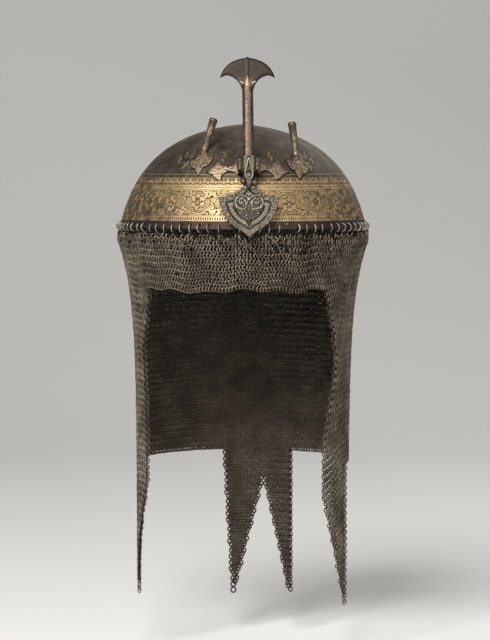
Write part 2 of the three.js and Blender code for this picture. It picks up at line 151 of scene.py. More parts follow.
class Bench:
    """Builds the nodes of one material."""

    def __init__(self, name: str) -> None:
        """Makes an empty material with a Principled surface.

        Args:
            name: the material's name.
        """
        self.material = bpy.data.materials.new(name)
        self.material.use_nodes = True
        self.tree = self.material.node_tree
        self.tree.nodes.clear()
        self.surface = self.add("ShaderNodeBsdfPrincipled")
        output = self.add("ShaderNodeOutputMaterial")
        self.link(self.surface.outputs["BSDF"], output.inputs["Surface"])
        scaled = self.add("ShaderNodeVectorMath")
        scaled.operation = "SCALE"
        scaled.inputs["Scale"].default_value = 1 / MM
        self.link(self.add("ShaderNodeTexCoord").outputs["Object"], scaled.inputs[0])
        self.millimetres = scaled.outputs["Vector"]

    def add(self, kind: str) -> bpy.types.Node:
        """Adds a node of a kind."""
        return self.tree.nodes.new(kind)

    def link(self, value: object, socket: bpy.types.NodeSocket) -> None:
        """Feeds a socket.

        Args:
            value: a signal, another node's socket, a colour or a plain number.
            socket: what is fed.
        """
        if isinstance(value, Signal):
            value = value.socket
        if isinstance(value, bpy.types.NodeSocket):
            self.tree.links.new(value, socket)
        else:
            socket.default_value = (*value, 1.0) if isinstance(value, tuple) else value

    def math(self, operation: str, *values: "Signal | float") -> Signal:
        """Adds a Math node.

        Args:
            operation: what it does.
            values: its inputs.

        Returns:
            Its result.
        """
        node = self.add("ShaderNodeMath")
        node.operation = operation
        for value, socket in zip(values, node.inputs):
            self.link(value, socket)
        return Signal(self, node.outputs["Value"])

    def axes(self) -> tuple[Signal, Signal, Signal]:
        """The surface point's X, Y and Z in millimetres."""
        node = self.add("ShaderNodeSeparateXYZ")
        self.link(self.millimetres, node.inputs[0])
        return tuple(Signal(self, node.outputs[i]) for i in range(3))

    def noise(self, size: float, detail: float = 3.0, shift: float = 0.0, stretch: float = 1.0) -> Signal:
        """Soft noise from 0 to 1.

        Args:
            size: rough size of its patches in millimetres.
            detail: how many finer layers it has.
            shift: moves the pattern, so that two of one size differ.
            stretch: how much longer its patches are along Z.

        Returns:
            The noise.
        """
        mapping = self.add("ShaderNodeMapping")
        mapping.inputs["Location"].default_value = (shift, shift * 0.7, shift * 1.3)
        mapping.inputs["Scale"].default_value = (1 / size, 1 / size, 1 / size / stretch)
        node = self.add("ShaderNodeTexNoise")
        node.inputs["Scale"].default_value = 1.0
        node.inputs["Detail"].default_value = detail
        self.link(self.millimetres, mapping.inputs["Vector"])
        self.link(mapping.outputs["Vector"], node.inputs["Vector"])
        return Signal(self, node.outputs["Fac"])

    def cells(self, size: float, feature: str = "F1") -> Signal:
        """Distance within a pattern of cells.

        Args:
            size: size of a cell in millimetres.
            feature: the Voronoi node's feature.

        Returns:
            The distance, in cell sizes.
        """
        node = self.add("ShaderNodeTexVoronoi")
        node.feature = feature
        node.inputs["Scale"].default_value = 1 / size
        self.link(self.millimetres, node.inputs["Vector"])
        return Signal(self, node.outputs["Distance"])

    def relief(self) -> Signal:
        """The number that the mesh holds for each vertex."""
        node = self.add("ShaderNodeAttribute")
        node.attribute_name = "relief"
        return Signal(self, node.outputs["Fac"])

    def paint(self, colour: object, *coats: tuple[Signal, object]) -> bpy.types.NodeSocket:
        """Lays coats of colour over a first one.

        Args:
            colour: the first colour or its socket.
            coats: how much each coat covers, and its colour or socket.

        Returns:
            The mixed colour's socket.
        """
        for cover, coat in coats:
            node = self.add("ShaderNodeMix")
            node.data_type = "RGBA"
            node.clamp_factor = True
            for name, value in (("Factor", cover), ("A", colour), ("B", coat)):
                self.link(value, node.inputs[name])
            colour = next(o for o in node.outputs if o.type == "RGBA" and o.enabled)
        return colour

    def finish(
        self,
        colour: object,
        metallic: float,
        roughness: "Signal | float",
        height: Signal | None = None,
        depth: float = 0.1,
    ) -> bpy.types.Material:
        """Feeds the surface.

        Args:
            colour: the base colour's socket or a colour.
            metallic: how metallic it is.
            roughness: how rough it is.
            height: relief from 0 to 1 that the light shows, if any.
            depth: the relief's depth in millimetres.

        Returns:
            The finished material.
        """
        for name, value in (("Base Color", colour), ("Metallic", metallic), ("Roughness", roughness)):
            self.link(value, self.surface.inputs[name])
        if height is not None:
            bump = self.add("ShaderNodeBump")
            bump.inputs["Distance"].default_value = depth * MM
            bump.inputs["Strength"].default_value = 1.0
            self.link(height, bump.inputs["Height"])
            self.link(bump.outputs["Normal"], self.surface.inputs["Normal"])
        return self.material


def length_of(x: Signal, y: Signal) -> Signal:
    """Distance from the origin of two coordinates."""
    return (x * x + y * y).root()


# ---- Mesh making ----


def put(name: str, data: bpy.types.ID) -> bpy.types.Object:
    """Puts a mesh, a lamp or a lens into the scene as an object.

    Args:
        name: the object's name.
        data: the mesh, lamp or lens.

    Returns:
        The object.
    """
    thing = bpy.data.objects.new(name, data)
    bpy.context.scene.collection.objects.link(thing)
    return thing


def make_piece(
    name: str,
    points: Array,
    faces: Array | list,
    material: bpy.types.Material,
    body: Body,
    relief: Array | None = None,
    sharp: float | None = None,
) -> bpy.types.Object:
    """Makes a piece from points and faces, dresses it and lets it ride on its body.

    Args:
        name: the piece's name.
        points: its points in millimetres.
        faces: its faces, as rows of point numbers.
        material: its finish.
        body: what it moves with.
        relief: a number for each point, kept as the attribute "relief".
        sharp: the angle in degrees beyond which an edge stays sharp, if any does.

    Returns:
        The piece.
    """
    mesh = bpy.data.meshes.new(name)
    if isinstance(faces, np.ndarray):
        count, sides = faces.shape
        mesh.vertices.add(len(points))
        mesh.vertices.foreach_set("co", np.ascontiguousarray(points * MM, np.float32).ravel())
        mesh.loops.add(count * sides)
        mesh.loops.foreach_set("vertex_index", np.ascontiguousarray(faces, np.int32).ravel())
        mesh.polygons.add(count)
        mesh.polygons.foreach_set("loop_start", np.arange(0, count * sides, sides, dtype=np.int32))
        mesh.update(calc_edges=True)
    else:
        mesh.from_pydata((points * MM).tolist(), [], faces)
    mesh.validate()
    if relief is not None:
        layer = mesh.attributes.new("relief", "FLOAT", "POINT")
        layer.data.foreach_set("value", np.ascontiguousarray(relief, np.float32))
    mesh.shade_smooth()
    if sharp is not None:
        mesh.set_sharp_from_angle(angle=math.radians(sharp))
    mesh.materials.append(material)
    piece = put(name, mesh)
    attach(piece, body.value)
    LOG.info("%s: %d faces", name, len(mesh.polygons))
    return piece


def close_up(mesh: bpy.types.Mesh) -> None:
    """Joins a mesh's parts where their points meet, and turns all its faces outwards.

    Args:
        mesh: the mesh, which is closed once its parts are joined.
    """
    work = bmesh.new()
    work.from_mesh(mesh)
    bmesh.ops.remove_doubles(work, verts=work.verts, dist=1e-6)
    bmesh.ops.recalc_face_normals(work, faces=work.faces)
    work.to_mesh(mesh)
    work.free()


def circle(count: int) -> Array:
    """Angles of points set evenly round a circle."""
    return np.arange(count) * TURN / count


def spots(x: Array | float, y: Array | float, z: Array | float) -> Array:
    """Points from their coordinates, some of which may be the same for all."""
    return np.stack(np.broadcast_arrays(x, y, z), axis=-1)


def ease(value: Array, low: float, high: float) -> Array:
    """Smoothly turns low into 0 and high into 1."""
    t = np.clip((value - low) / (high - low), 0, 1)
    return t * t * (3 - 2 * t)


def swell(value: Array, middle: float, width: float) -> Array:
    """A soft swelling, 1 at the middle, that falls off to either side within about the width."""
    return np.exp(-(((value - middle) / width) ** 2))


def grid_faces(rows: int, columns: int, around: bool = False, start: int = 0) -> Array:
    """Faces of a grid whose points run along each row.

    Args:
        rows: how many rows of points.
        columns: how many points in a row.
        around: whether the last column joins the first.
        start: the number of the grid's first point.

    Returns:
        Its four-sided faces.
    """
    row = np.arange(rows - 1)[:, None]
    column = np.arange(columns if around else columns - 1)[None, :]
    following = (column + 1) % columns
    corners = (row * columns + column, row * columns + following)
    above = ((row + 1) * columns + following, (row + 1) * columns + column)
    return np.stack([*corners, *above], axis=-1).reshape(-1, 4) + start


# ---- The shapes that the pieces share ----


@dataclass(frozen=True)
class Dome:
    """The bowl's outer surface: one curve, turned about the vertical axis, with holes above its rim."""

    rim: float = 104.0
    shoulder: Span = (92.9, 47.7)
    brow: Span = (65.8, 80.3)
    top: float = 86.0
    holes: int = 80
    hole_height: float = 3.7

    def curve(self, t: Array) -> tuple[Array, Array, Array, Array]:
        """Points and outward normals of the profile.

        Args:
            t: places along it, 0 at the rim and 1 at the top.

        Returns:
            Radius and height, then the normal's outward and upward parts.
        """
        corners = np.array([(self.rim, 0.0), self.shoulder, self.brow, (0.0, self.top)])
        s = 1 - t
        shares = np.stack([s**3, 3 * s * s * t, 3 * s * t * t, t**3], axis=-1)
        slopes = np.stack([-3 * s * s, 3 * s * s - 6 * s * t, 6 * s * t - 3 * t * t, 3 * t * t], axis=-1)
        points, along = shares @ corners, slopes @ corners
        size = np.hypot(along[..., 0], along[..., 1])
        return points[..., 0], points[..., 1], along[..., 1] / size, -along[..., 0] / size

    def at_height(self, height: Array, offset: float = 0.0) -> tuple[Array, Array, Array]:
        """The profile at given heights.

        Args:
            height: heights above the rim.
            offset: distance outside the surface.

        Returns:
            The radius, and the normal's outward and upward parts.
        """
        t = np.linspace(0, 1, 2000)
        radius, z, out, up = self.curve(t)
        radius, z = radius + out * offset, z + up * offset
        return tuple(np.interp(height, z, values) for values in (radius, out, up))

    def lay(self, around: Array, height: Array, offset: Array | float) -> Array:
        """Points on the dome.

        Args:
            around: angles in degrees from the front towards +X.
            height: heights above the rim.
            offset: distances outside the surface, along its normal.

        Returns:
            The points.
        """
        radius, out, up = self.at_height(height)
        angle = np.radians(around)
        reach = radius + out * offset
        return spots(reach * np.sin(angle), -reach * np.cos(angle), height + up * offset)


DOME = Dome()


@dataclass(frozen=True)
class SlideFrame:
    """The nasal's own frame: its Z runs up along the slide and its -Y faces forwards."""

    out: float = 111.2
    lean: float = math.radians(14)

    def place(self, points: Array) -> Array:
        """Moves points from the nasal's frame to the helmet's.

        Args:
            points: the points in the nasal's frame.

        Returns:
            The points in the helmet's.
        """
        x, y, z = points[..., 0], points[..., 1], points[..., 2]
        cos, sin = math.cos(self.lean), math.sin(self.lean)
        return spots(x, y * cos + z * sin - self.out, z * cos - y * sin)


SLIDE = SlideFrame()


# ---- Finishes ----

GOLD = (0.56, 0.43, 0.215)
GOLD_WORN = (0.42, 0.30, 0.155)
GROUND = (0.24, 0.155, 0.09)
ENGRAVED = (0.040, 0.021, 0.022)
STEEL = (0.120, 0.100, 0.075)
STEEL_DARK = (0.050, 0.041, 0.032)
RUST = (0.090, 0.048, 0.030)


@dataclass(frozen=True)
class BandPattern:
    """The damascened band: a scrolling vine with palmettes between borders, in heights above the rim."""

    palmettes: int = 24
    turn: float = 17.5
    pitch: float = 26.0
    middle: float = 21.0
    reach: float = 100.0
    dash_pitch: float = 2.0
    bead_pitch: float = 1.75
    frieze_pitch: float = 7.4
    arch_drop: float = 4.89
    arch_radius: float = 13.89
    vine_apart: float = 0.75
    vine_half: float = 0.38
    border: float = 0.35
    wander: Span = (4.6, 4.0)
    inner_line: float = 0.72
    lower_row: Span = (6.4, 10.2)
    vine: Span = (11.0, 31.0)
    bead_row: Span = (32.2, 35.4)
    frieze: Span = (36.0, 41.8)
    top_line: float = 44.2

    def cell(self, angle: Signal) -> tuple[Signal, Signal]:
        """The place within a palmette's cell, and whether the cell is upside down.

        Args:
            angle: turns round the bowl, from the front.

        Returns:
            The distance from the cell's middle line, and 1 or -1.
        """
        count = angle * self.palmettes + self.turn * self.palmettes / 360
        across = (count.part() - 0.5) * self.pitch
        parity = (count * 0.5).part().ramp(0.4999, 0.5001)
        return across, 1.0 - parity * 2.0

    def palmette(self, x: Signal, y: Signal) -> Signal:
        """Signed distance to a cluster of three-lobed leaves round a bud, on a stem.

        Args:
            x: distance across from the bud.
            y: height above the bud.

        Returns:
            The distance, below 0 inside.
        """
        reach = length_of(x, y)
        leaf = x.bench.math("ARCTAN2", y, x).cell(TURN / 6)
        along, aside = reach * leaf.cos(), (reach * leaf.sin()).abs()
        leaves = (length_of(along - 5.6, aside) - 1.3).under(length_of(along - 4.2, aside - 1.15) - 0.85)
        leaves = leaves.under(length_of((along - 3.0) * 0.5, aside) - 0.42)
        leaves = leaves.over(2.6 - (y + 8.4))
        stem = (length_of(x, y + 12.3) - 9.6).abs() - 0.42
        stem = stem.over(y + 3.4)
        return leaves.under(reach - 1.15).under(stem)

    def vine_shapes(self, x: Signal, y: Signal) -> Signal:
        """Signed distance to the double vine, its palmette and the small leaves in its corners.

        Args:
            x: distance across from the cell's middle.
            y: height above it.

        Returns:
            The distance, below 0 inside.
        """
        arch = (length_of(x, y + self.arch_drop) - self.arch_radius).abs()
        stems = (arch - self.vine_apart).abs() - self.vine_half
        side = x.abs()
        shapes = stems.under(self.palmette(x, y + 0.9))
        for at_x, at_y, size, flat in (
            (11.2, -7.3, 1.75, 1.0),
            (8.2, -9.0, 0.95, 0.8),
            (12.4, -3.2, 1.0, 1.5),
            (9.4, -5.6, 0.85, 1.2),
            (12.0, 7.2, 1.6, 1.0),
            (8.9, 8.7, 0.9, 0.8),
            (12.9, 3.9, 0.8, 1.4),
            (6.6, -7.9, 1.25, 0.9),
            (4.3, -8.6, 0.8, 1.0),
            (7.3, -5.6, 0.8, 1.2),
        ):
            shapes = shapes.under(length_of(side - at_x, (y - at_y) / flat) - size)
        return shapes

    def build(self, bench: Bench) -> tuple[Signal, Signal, Signal]:
        """Lays out the whole band.

        Args:
            bench: the material's bench.

        Returns:
            How much gold, how much engraved line, and whether the point is in the band, each 0 to 1.
        """
        x, y, z = bench.axes()
        angle = bench.math("ARCTAN2", x, y * -1.0) / TURN
        across, flip = self.cell(angle)
        across = across + (bench.noise(4.2, 2.0) - 0.5) * self.wander[0]
        height = z + (bench.noise(4.6, 2.0, shift=40.0) - 0.5) * self.wander[1]
        low, high = self.vine
        edges = (z - low).abs().under((z - high).abs()) - self.border
        vine = self.vine_shapes(across, (height - self.middle) * flip).under(edges)
        around = angle * (TURN * self.reach)
        dash = around.cell(self.dash_pitch).abs() - 0.42
        dash = dash.over((z - sum(self.lower_row) / 2).abs() - 1.05).ramp(-0.1, 0.12)
        bead = length_of(around.cell(self.bead_pitch), z - sum(self.bead_row) / 2) - 0.46
        bead = bead.ramp(-0.08, 0.14)
        flower = self.frieze_shapes(around, z)
        in_rows = [self.within(z, *row) for row in (self.lower_row, self.bead_row)]
        in_vine, in_frieze = self.within(z, *self.vine), self.within(z, *self.frieze)
        top = 1.0 - (z - self.top_line).abs().ramp(0.22, 0.5)
        shapes = vine * in_vine + flower * in_frieze + (1.0 - in_vine - in_frieze) * 2.0
        gold = 1.0 - shapes.ramp(-0.06, 0.18)
        line = shapes.ramp(0.04, 0.22) * (1.0 - shapes.ramp(0.46, 0.84))
        line = line.over((1.0 - (shapes + self.inner_line).abs().ramp(0.1, 0.26)) * 0.7)
        solid = in_rows[0] * dash + in_rows[1] * bead
        punched = in_rows[0] * (1.0 - dash) + in_rows[1] * (1.0 - bead)
        band = self.within(z, self.lower_row[0], self.frieze[1])
        gold = gold.over(solid).over(top * 0.5)
        return gold, line.over(punched), band

    def frieze_shapes(self, around: Signal, z: Signal) -> Signal:
        """Signed distance to the upper frieze's three-petalled flowers and the leaves between them.

        Args:
            around: length round the band.
            z: height above the rim.

        Returns:
            The distance, below 0 inside.
        """
        x, y = around.cell(self.frieze_pitch), z - sum(self.frieze) / 2
        reach = length_of(x, y)
        petal = x.bench.math("ARCTAN2", y, x).cell(TURN / 3, 0.75)
        petals = length_of((reach * petal.cos() - 1.3) * 0.8, reach * petal.sin()) - 0.95
        leaf = length_of((x.abs() - 3.3) / 0.75, (y + 1.0) / 1.5) - 0.85
        bud = length_of((x.abs() - 2.9) / 0.8, y - 1.75) - 0.6
        return petals.under(leaf).under(bud)

    def within(self, z: Signal, low: float, high: float, soft: float = 0.12) -> Signal:
        """1 between two heights and 0 outside them, with soft edges."""
        return z.ramp(low - soft, low + soft) * (1.0 - z.ramp(high - soft, high + soft))


@dataclass(frozen=True)
class BowlSteel:
    """Dark mottled steel with the gold band laid in it."""

    band: BandPattern = BandPattern()

    def material(self) -> bpy.types.Material:
        """Builds the material.

        Returns:
            The material.
        """
        bench = Bench("bowl_steel")
        x, y, z = bench.axes()
        cloud = bench.noise(24.0, 5.0)
        fine = bench.noise(3.0, 6.0, shift=9.0)
        pits = bench.noise(1.1, 3.0, shift=21.0).ramp(0.66, 0.74)
        streak = bench.noise(9.0, 6.0, shift=90.0, stretch=1.8)
        rust = bench.noise(15.0, 4.0, shift=55.0).ramp(0.52, 0.72)
        rim = 1.0 - z.ramp(5.6, 6.2)
        steel = bench.paint(
            STEEL_DARK,
            (cloud.ramp(0.3, 0.72), STEEL),
            (fine.ramp(0.45, 0.75) * 0.5, (0.17, 0.142, 0.106)),
            (streak.ramp(0.46, 0.64) * 0.3, (0.19, 0.158, 0.12)),
            ((streak * -1.0).ramp(-0.5, -0.36) * 0.3, (0.035, 0.028, 0.023)),
            (rust * 0.55, RUST),
            (pits * 0.8, (0.02, 0.016, 0.014)),
            (rim * 0.75, (0.050, 0.032, 0.026)),
        )
        gold, line, band = self.band.build(bench)
        # Towards the sides, away from the front and the back, the band's ground darkens to dark steel, its
        # gold dulls and less of it is kept: painted shade where the bowl turns away from the light.
        aside = x.abs().ramp(30.0, 98.0)
        kept = (bench.noise(5.5, 5.0, shift=70.0) - aside * 0.22).ramp(0.20, 0.40)
        hatch = bench.cells(1.3).ramp(0.2, 0.62)
        ground = bench.paint(GOLD_WORN, (hatch * 0.6, GROUND), (aside * 0.5, STEEL_DARK))
        leaf = bench.paint(
            GOLD_WORN,
            (bench.noise(7.0, 3.0, shift=33.0).ramp(0.35, 0.7), GOLD),
            (aside * 0.35, GOLD_WORN),
        )
        curls = self.curls(x, y, z) * fine.ramp(0.38, 0.52)
        shown = (gold * kept).over(curls * 0.6)
        colour = bench.paint(
            steel,
            (band * (0.25 + kept * 0.75), ground),
            (shown, leaf),
            (line * (0.5 + kept * 0.4), ENGRAVED),
        )
        rough = 0.60 - shown * 0.08 + fine * 0.12 + line * 0.2
        relief = shown * 0.55 + fine * 0.35 - line * 0.5 - hatch * band * 0.15 - pits * 0.3
        return bench.finish(colour, 0.94, rough, relief, 0.2)

    def curls(self, x: Signal, y: Signal, z: Signal) -> Signal:
        """Gold curls laid in the steel round the plume holders and above the wings.

        Args:
            x: place across.
            y: place from front to back.
            z: height above the rim.

        Returns:
            How much gold, 0 to 1.
        """
        side = x.abs()
        nearest = None
        for at_x, at_z, size in (
            (19.0, 58.8, 1.45),
            (47.0, 54.5, 2.0),
            (51.8, 50.6, 1.5),
            (43.6, 61.2, 1.3),
            (54.5, 56.0, 1.2),
            (49.0, 59.8, 1.1),
        ):
            for turn in (1.0, -1.0):
                bow = (length_of(side - at_x, z - at_z - size * turn) - size).abs() - 0.42
                half = bow.over((side - at_x) * turn)
                nearest = half if nearest is None else nearest.under(half)
        return (1.0 - nearest.ramp(-0.1, 0.25)) * (1.0 - y.ramp(-20.0, -10.0))


@dataclass(frozen=True)
class LiningSteel:
    """The bowl's inside: plain dark forged steel."""

    def material(self) -> bpy.types.Material:
        """Builds the material.

        Returns:
            The material.
        """
        bench = Bench("bowl_inside")
        cloud = bench.noise(14.0, 5.0)
        hammered = bench.cells(9.0, "SMOOTH_F1")
        colour = bench.paint((0.035, 0.028, 0.025), (cloud.ramp(0.35, 0.7), (0.075, 0.05, 0.038)))
        return bench.finish(colour, 0.8, 0.55 + cloud * 0.2, hammered + cloud * 0.4, 0.5)


@dataclass(frozen=True)
class WireIron:
    """Dull iron wire, browner and darker in patches, with painted shade where its relief number is low."""

    name: str = "mail_iron"
    light: Colour = (0.275, 0.230, 0.170)
    dark: Colour = (0.115, 0.092, 0.067)
    rust: float = 0.3

    def material(self) -> bpy.types.Material:
        """Builds the material.

        Returns:
            The material.
        """
        bench = Bench(self.name)
        _, _, z = bench.axes()
        patch = bench.noise(18.0, 4.0)
        grain = bench.noise(1.4, 3.0, shift=12.0)
        low = (z * -1.0).ramp(150.0, 320.0) * 0.5
        spots = bench.noise(26.0, 4.0, shift=31.0).ramp(0.5, 0.68)
        # Where the relief number is low, in the middle of each wire between its outer and inner faces, the
        # iron darkens: painted shade in the crevices between rings.
        inner = 1.0 - bench.relief().ramp(0.04, 0.90)
        colour = bench.paint(
            self.dark,
            (patch.ramp(0.32, 0.68), self.light),
            (grain.ramp(0.4, 0.7) * 0.4, (0.20, 0.175, 0.14)),
            (spots * (low + self.rust), (0.085, 0.042, 0.026)),
            (inner * 0.9, (0.045, 0.036, 0.028)),
        )
        return bench.finish(colour, 0.9, 0.42 + grain * 0.16, grain, 0.06)


# ---- Bowl ----


@dataclass
class Bowl:
    """The hollow dome, with the round holes that the rings hang through."""

    hole_radius: float = 1.15
    wall: float = 1.5
    patch: Span = (1.2, 6.2)
    rows: int = 34
    lined_from: float = 0.48

    def surface(self, offset: float, around: Array, height: Array) -> Array:
        """Points on the wall's outer or inner face.

        Args:
            offset: 0 outside, minus the wall inside.
            around: angles in sectors of one hole.
            height: heights above the rim.

        Returns:
            The points.
        """
        return DOME.lay(around * 360.0 / DOME.holes, height, offset)

    def sector(self) -> Array:
        """The stretch of wall round one hole: the points of its square edge, then those of the hole.

        Returns:
            Their angles in sectors and their heights.
        """
        low, high = self.patch
        mid = (low + high) / 2
        square = [(x, low) for x in (-0.5, -0.25, 0.0, 0.25, 0.5)] + [(0.5, mid)]
        square += [(x, high) for x in (0.5, 0.25, 0.0, -0.25, -0.5)] + [(-0.5, mid)]
        width = TURN * DOME.rim / DOME.holes
        middle = np.array([0.0, DOME.hole_height])
        across, up = (square - middle).T
        turn = np.arctan2(up, across * width)
        ring = middle + np.column_stack([np.cos(turn) / width, np.sin(turn)]) * self.hole_radius
        return np.concatenate([square, ring])

    def build(self) -> None:
        """Builds the bowl's outside and inside, joined at the rim and in the holes."""
        columns = DOME.holes * 4
        t = np.linspace(0.0, 1.0, 1500)
        _, z, _, _ = DOME.curve(t)
        share = np.linspace(np.interp(self.patch[1], z, t), 1.0, self.rows)[:-1]
        turn = (np.arange(columns) - 2) / 4.0
        sector = self.sector()
        half = len(sector) // 2
        strips, rims, bores = [], [], []
        for offset in (0.0, -self.wall):
            shell = [self.surface(offset, turn, np.full(columns, h)) for h in np.interp(share, t, z)]
            crown = np.broadcast_to([0.0, 0.0, DOME.top + offset], (columns, 3))
            low = self.surface(offset, turn, np.full(columns, self.patch[0]))
            rim = self.surface(offset, turn, np.zeros(columns)) * (1, 1, 0)
            holes = [self.surface(offset, sector[:, 0] + i, sector[:, 1]) for i in range(DOME.holes)]
            strips += [[*shell, crown], [rim, low], *((hole[:half], hole[half:]) for hole in holes)]
            rims.append(rim)
            bores.append([hole[half:] for hole in holes])
        grids = [np.array(strip) for strip in (*strips, rims, *zip(*bores))]
        parts = [(grid.reshape(-1, 3), grid_faces(*grid.shape[:2], around=True)) for grid in grids]
        piece = make_piece("steel_bowl", *joined(*parts), BowlSteel().material(), Body.HELMET)
        close_up(piece.data)
        piece.data.shade_smooth()
        piece.data.set_sharp_from_angle(angle=math.radians(40))
        piece.data.materials.append(LiningSteel().material())
        self.line(piece)
        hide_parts("bowl")

    def line(self, piece: bpy.types.Object) -> None:
        """Gives the faces inside the bowl the inside's finish.

        Args:
            piece: the bowl.
        """
        below = Vector((0.0, 0.0, -20 * MM))
        for face in piece.data.polygons:
            centre = Vector(face.center)
            if face.normal.dot(centre - below) < 0 and centre.z > self.lined_from * MM:
                face.material_index = 1


# ---- Rings ----


@dataclass(frozen=True)
class Ring:
    """A round ring of wire, whose relief number paints light on it: a painted highlight where it faces
    outwards, less where inwards, and painted shade between.
    """

    radius: float
    wire: float
    segments: int
    sides: int
    painted_highlight_gain: float = 1.8
    inner_painted_light: float = 0.62

    def points(self) -> Array:
        """Points of one ring about the origin, as places along its two in-plane axes and its normal."""
        turn, side = circle(self.segments)[:, None], circle(self.sides)
        reach = self.radius + self.wire * np.cos(side)
        return spots(reach * np.cos(turn), reach * np.sin(turn), self.wire * np.sin(side)).reshape(-1, 3)

    def faces(self) -> Array:
        """Faces of one ring."""
        faces = grid_faces(self.segments + 1, self.sides, around=True)[:, [0, 3, 2, 1]]
        return faces % (self.segments * self.sides)

    def many(
        self, centres: Array, first: Array, second: Array, normal: Array, outward: Array
    ) -> tuple[Array, Array, Array]:
        """Rings set out in space.

        Args:
            centres: their middles.
            first: the first in-plane direction of each.
            second: the second in-plane direction of each.
            normal: the normal of each.
            outward: the way out of the helmet at each.

        Returns:
            All their points and faces, and each point's painted light, 0 to 1: a painted highlight where it
            stands out to either side, painted shade in the middle.
        """
        local = self.points()
        frames = np.stack([first, second, normal], axis=1)
        spread = np.einsum("pk,nkc->npc", local, frames)
        # Painted light for each point: lighter the further it stands out of the mail to either side, painted
        # shade near the middle.
        depth = np.einsum("npc,nc->np", spread, outward) * self.painted_highlight_gain / (self.radius + self.wire)
        painted_light = np.clip(np.maximum(depth, -self.inner_painted_light * depth), 0, 1)
        points = spread + centres[:, None, :]
        count = len(local)
        faces = self.faces()[None] + (np.arange(len(centres)) * count)[:, None, None]
        return points.reshape(-1, 3), faces.reshape(-1, 4), painted_light.ravel()


@dataclass
class HangingRings:
    """The larger wire rings through the rim's holes."""

    ring: Ring = Ring(radius=3.35, wire=0.55, segments=16, sides=8)
    missing: tuple[int, ...] = (4, 78)
    depth: float = 0.75
    lean: float = 16.0
    uneven: float = 7.0
    twist: float = 24.0
    iron: WireIron = WireIron("ring_iron", (0.38, 0.342, 0.295), (0.18, 0.16, 0.138), 0.12)
    seed: int = 5

    def build(self) -> None:
        """Builds the rings in four quarters."""
        draw = np.random.default_rng(self.seed)
        hang = float(DOME.at_height(np.array(DOME.hole_height))[0]) - self.depth
        lean = np.radians(self.lean + draw.uniform(-self.uneven, self.uneven, DOME.holes))[:, None]
        twist = np.radians(draw.uniform(-self.twist, self.twist, DOME.holes))[:, None]
        turn = circle(DOME.holes)
        iron = self.iron.material()
        out, aside = spots(np.sin(turn), -np.cos(turn), 0.0), spots(np.cos(turn), np.sin(turn), 0.0)
        up = np.array([0.0, 0.0, 1.0])
        down = out * np.sin(lean) - up * np.cos(lean)
        across = out * np.cos(lean) + up * np.sin(lean)
        across = across * np.cos(twist) + aside * np.sin(twist)
        centres = out * hang + up * DOME.hole_height + down * self.ring.radius
        normal = np.cross(down, across)
        quarter = DOME.holes // 4
        for index, name in enumerate(("front", "right", "back", "left")):
            holes = (np.arange(quarter) + index * quarter - quarter // 2) % DOME.holes
            chosen = holes[~np.isin(holes, self.missing)]
            frame = [part[chosen] for part in (centres, down, across, normal, out)]
            points, faces, painted_light = self.ring.many(*frame)
            piece = make_piece(f"rim_rings_{name}", points, faces, iron, Body.HELMET, relief=painted_light)
            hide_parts(f"hanging_rings_{name}")


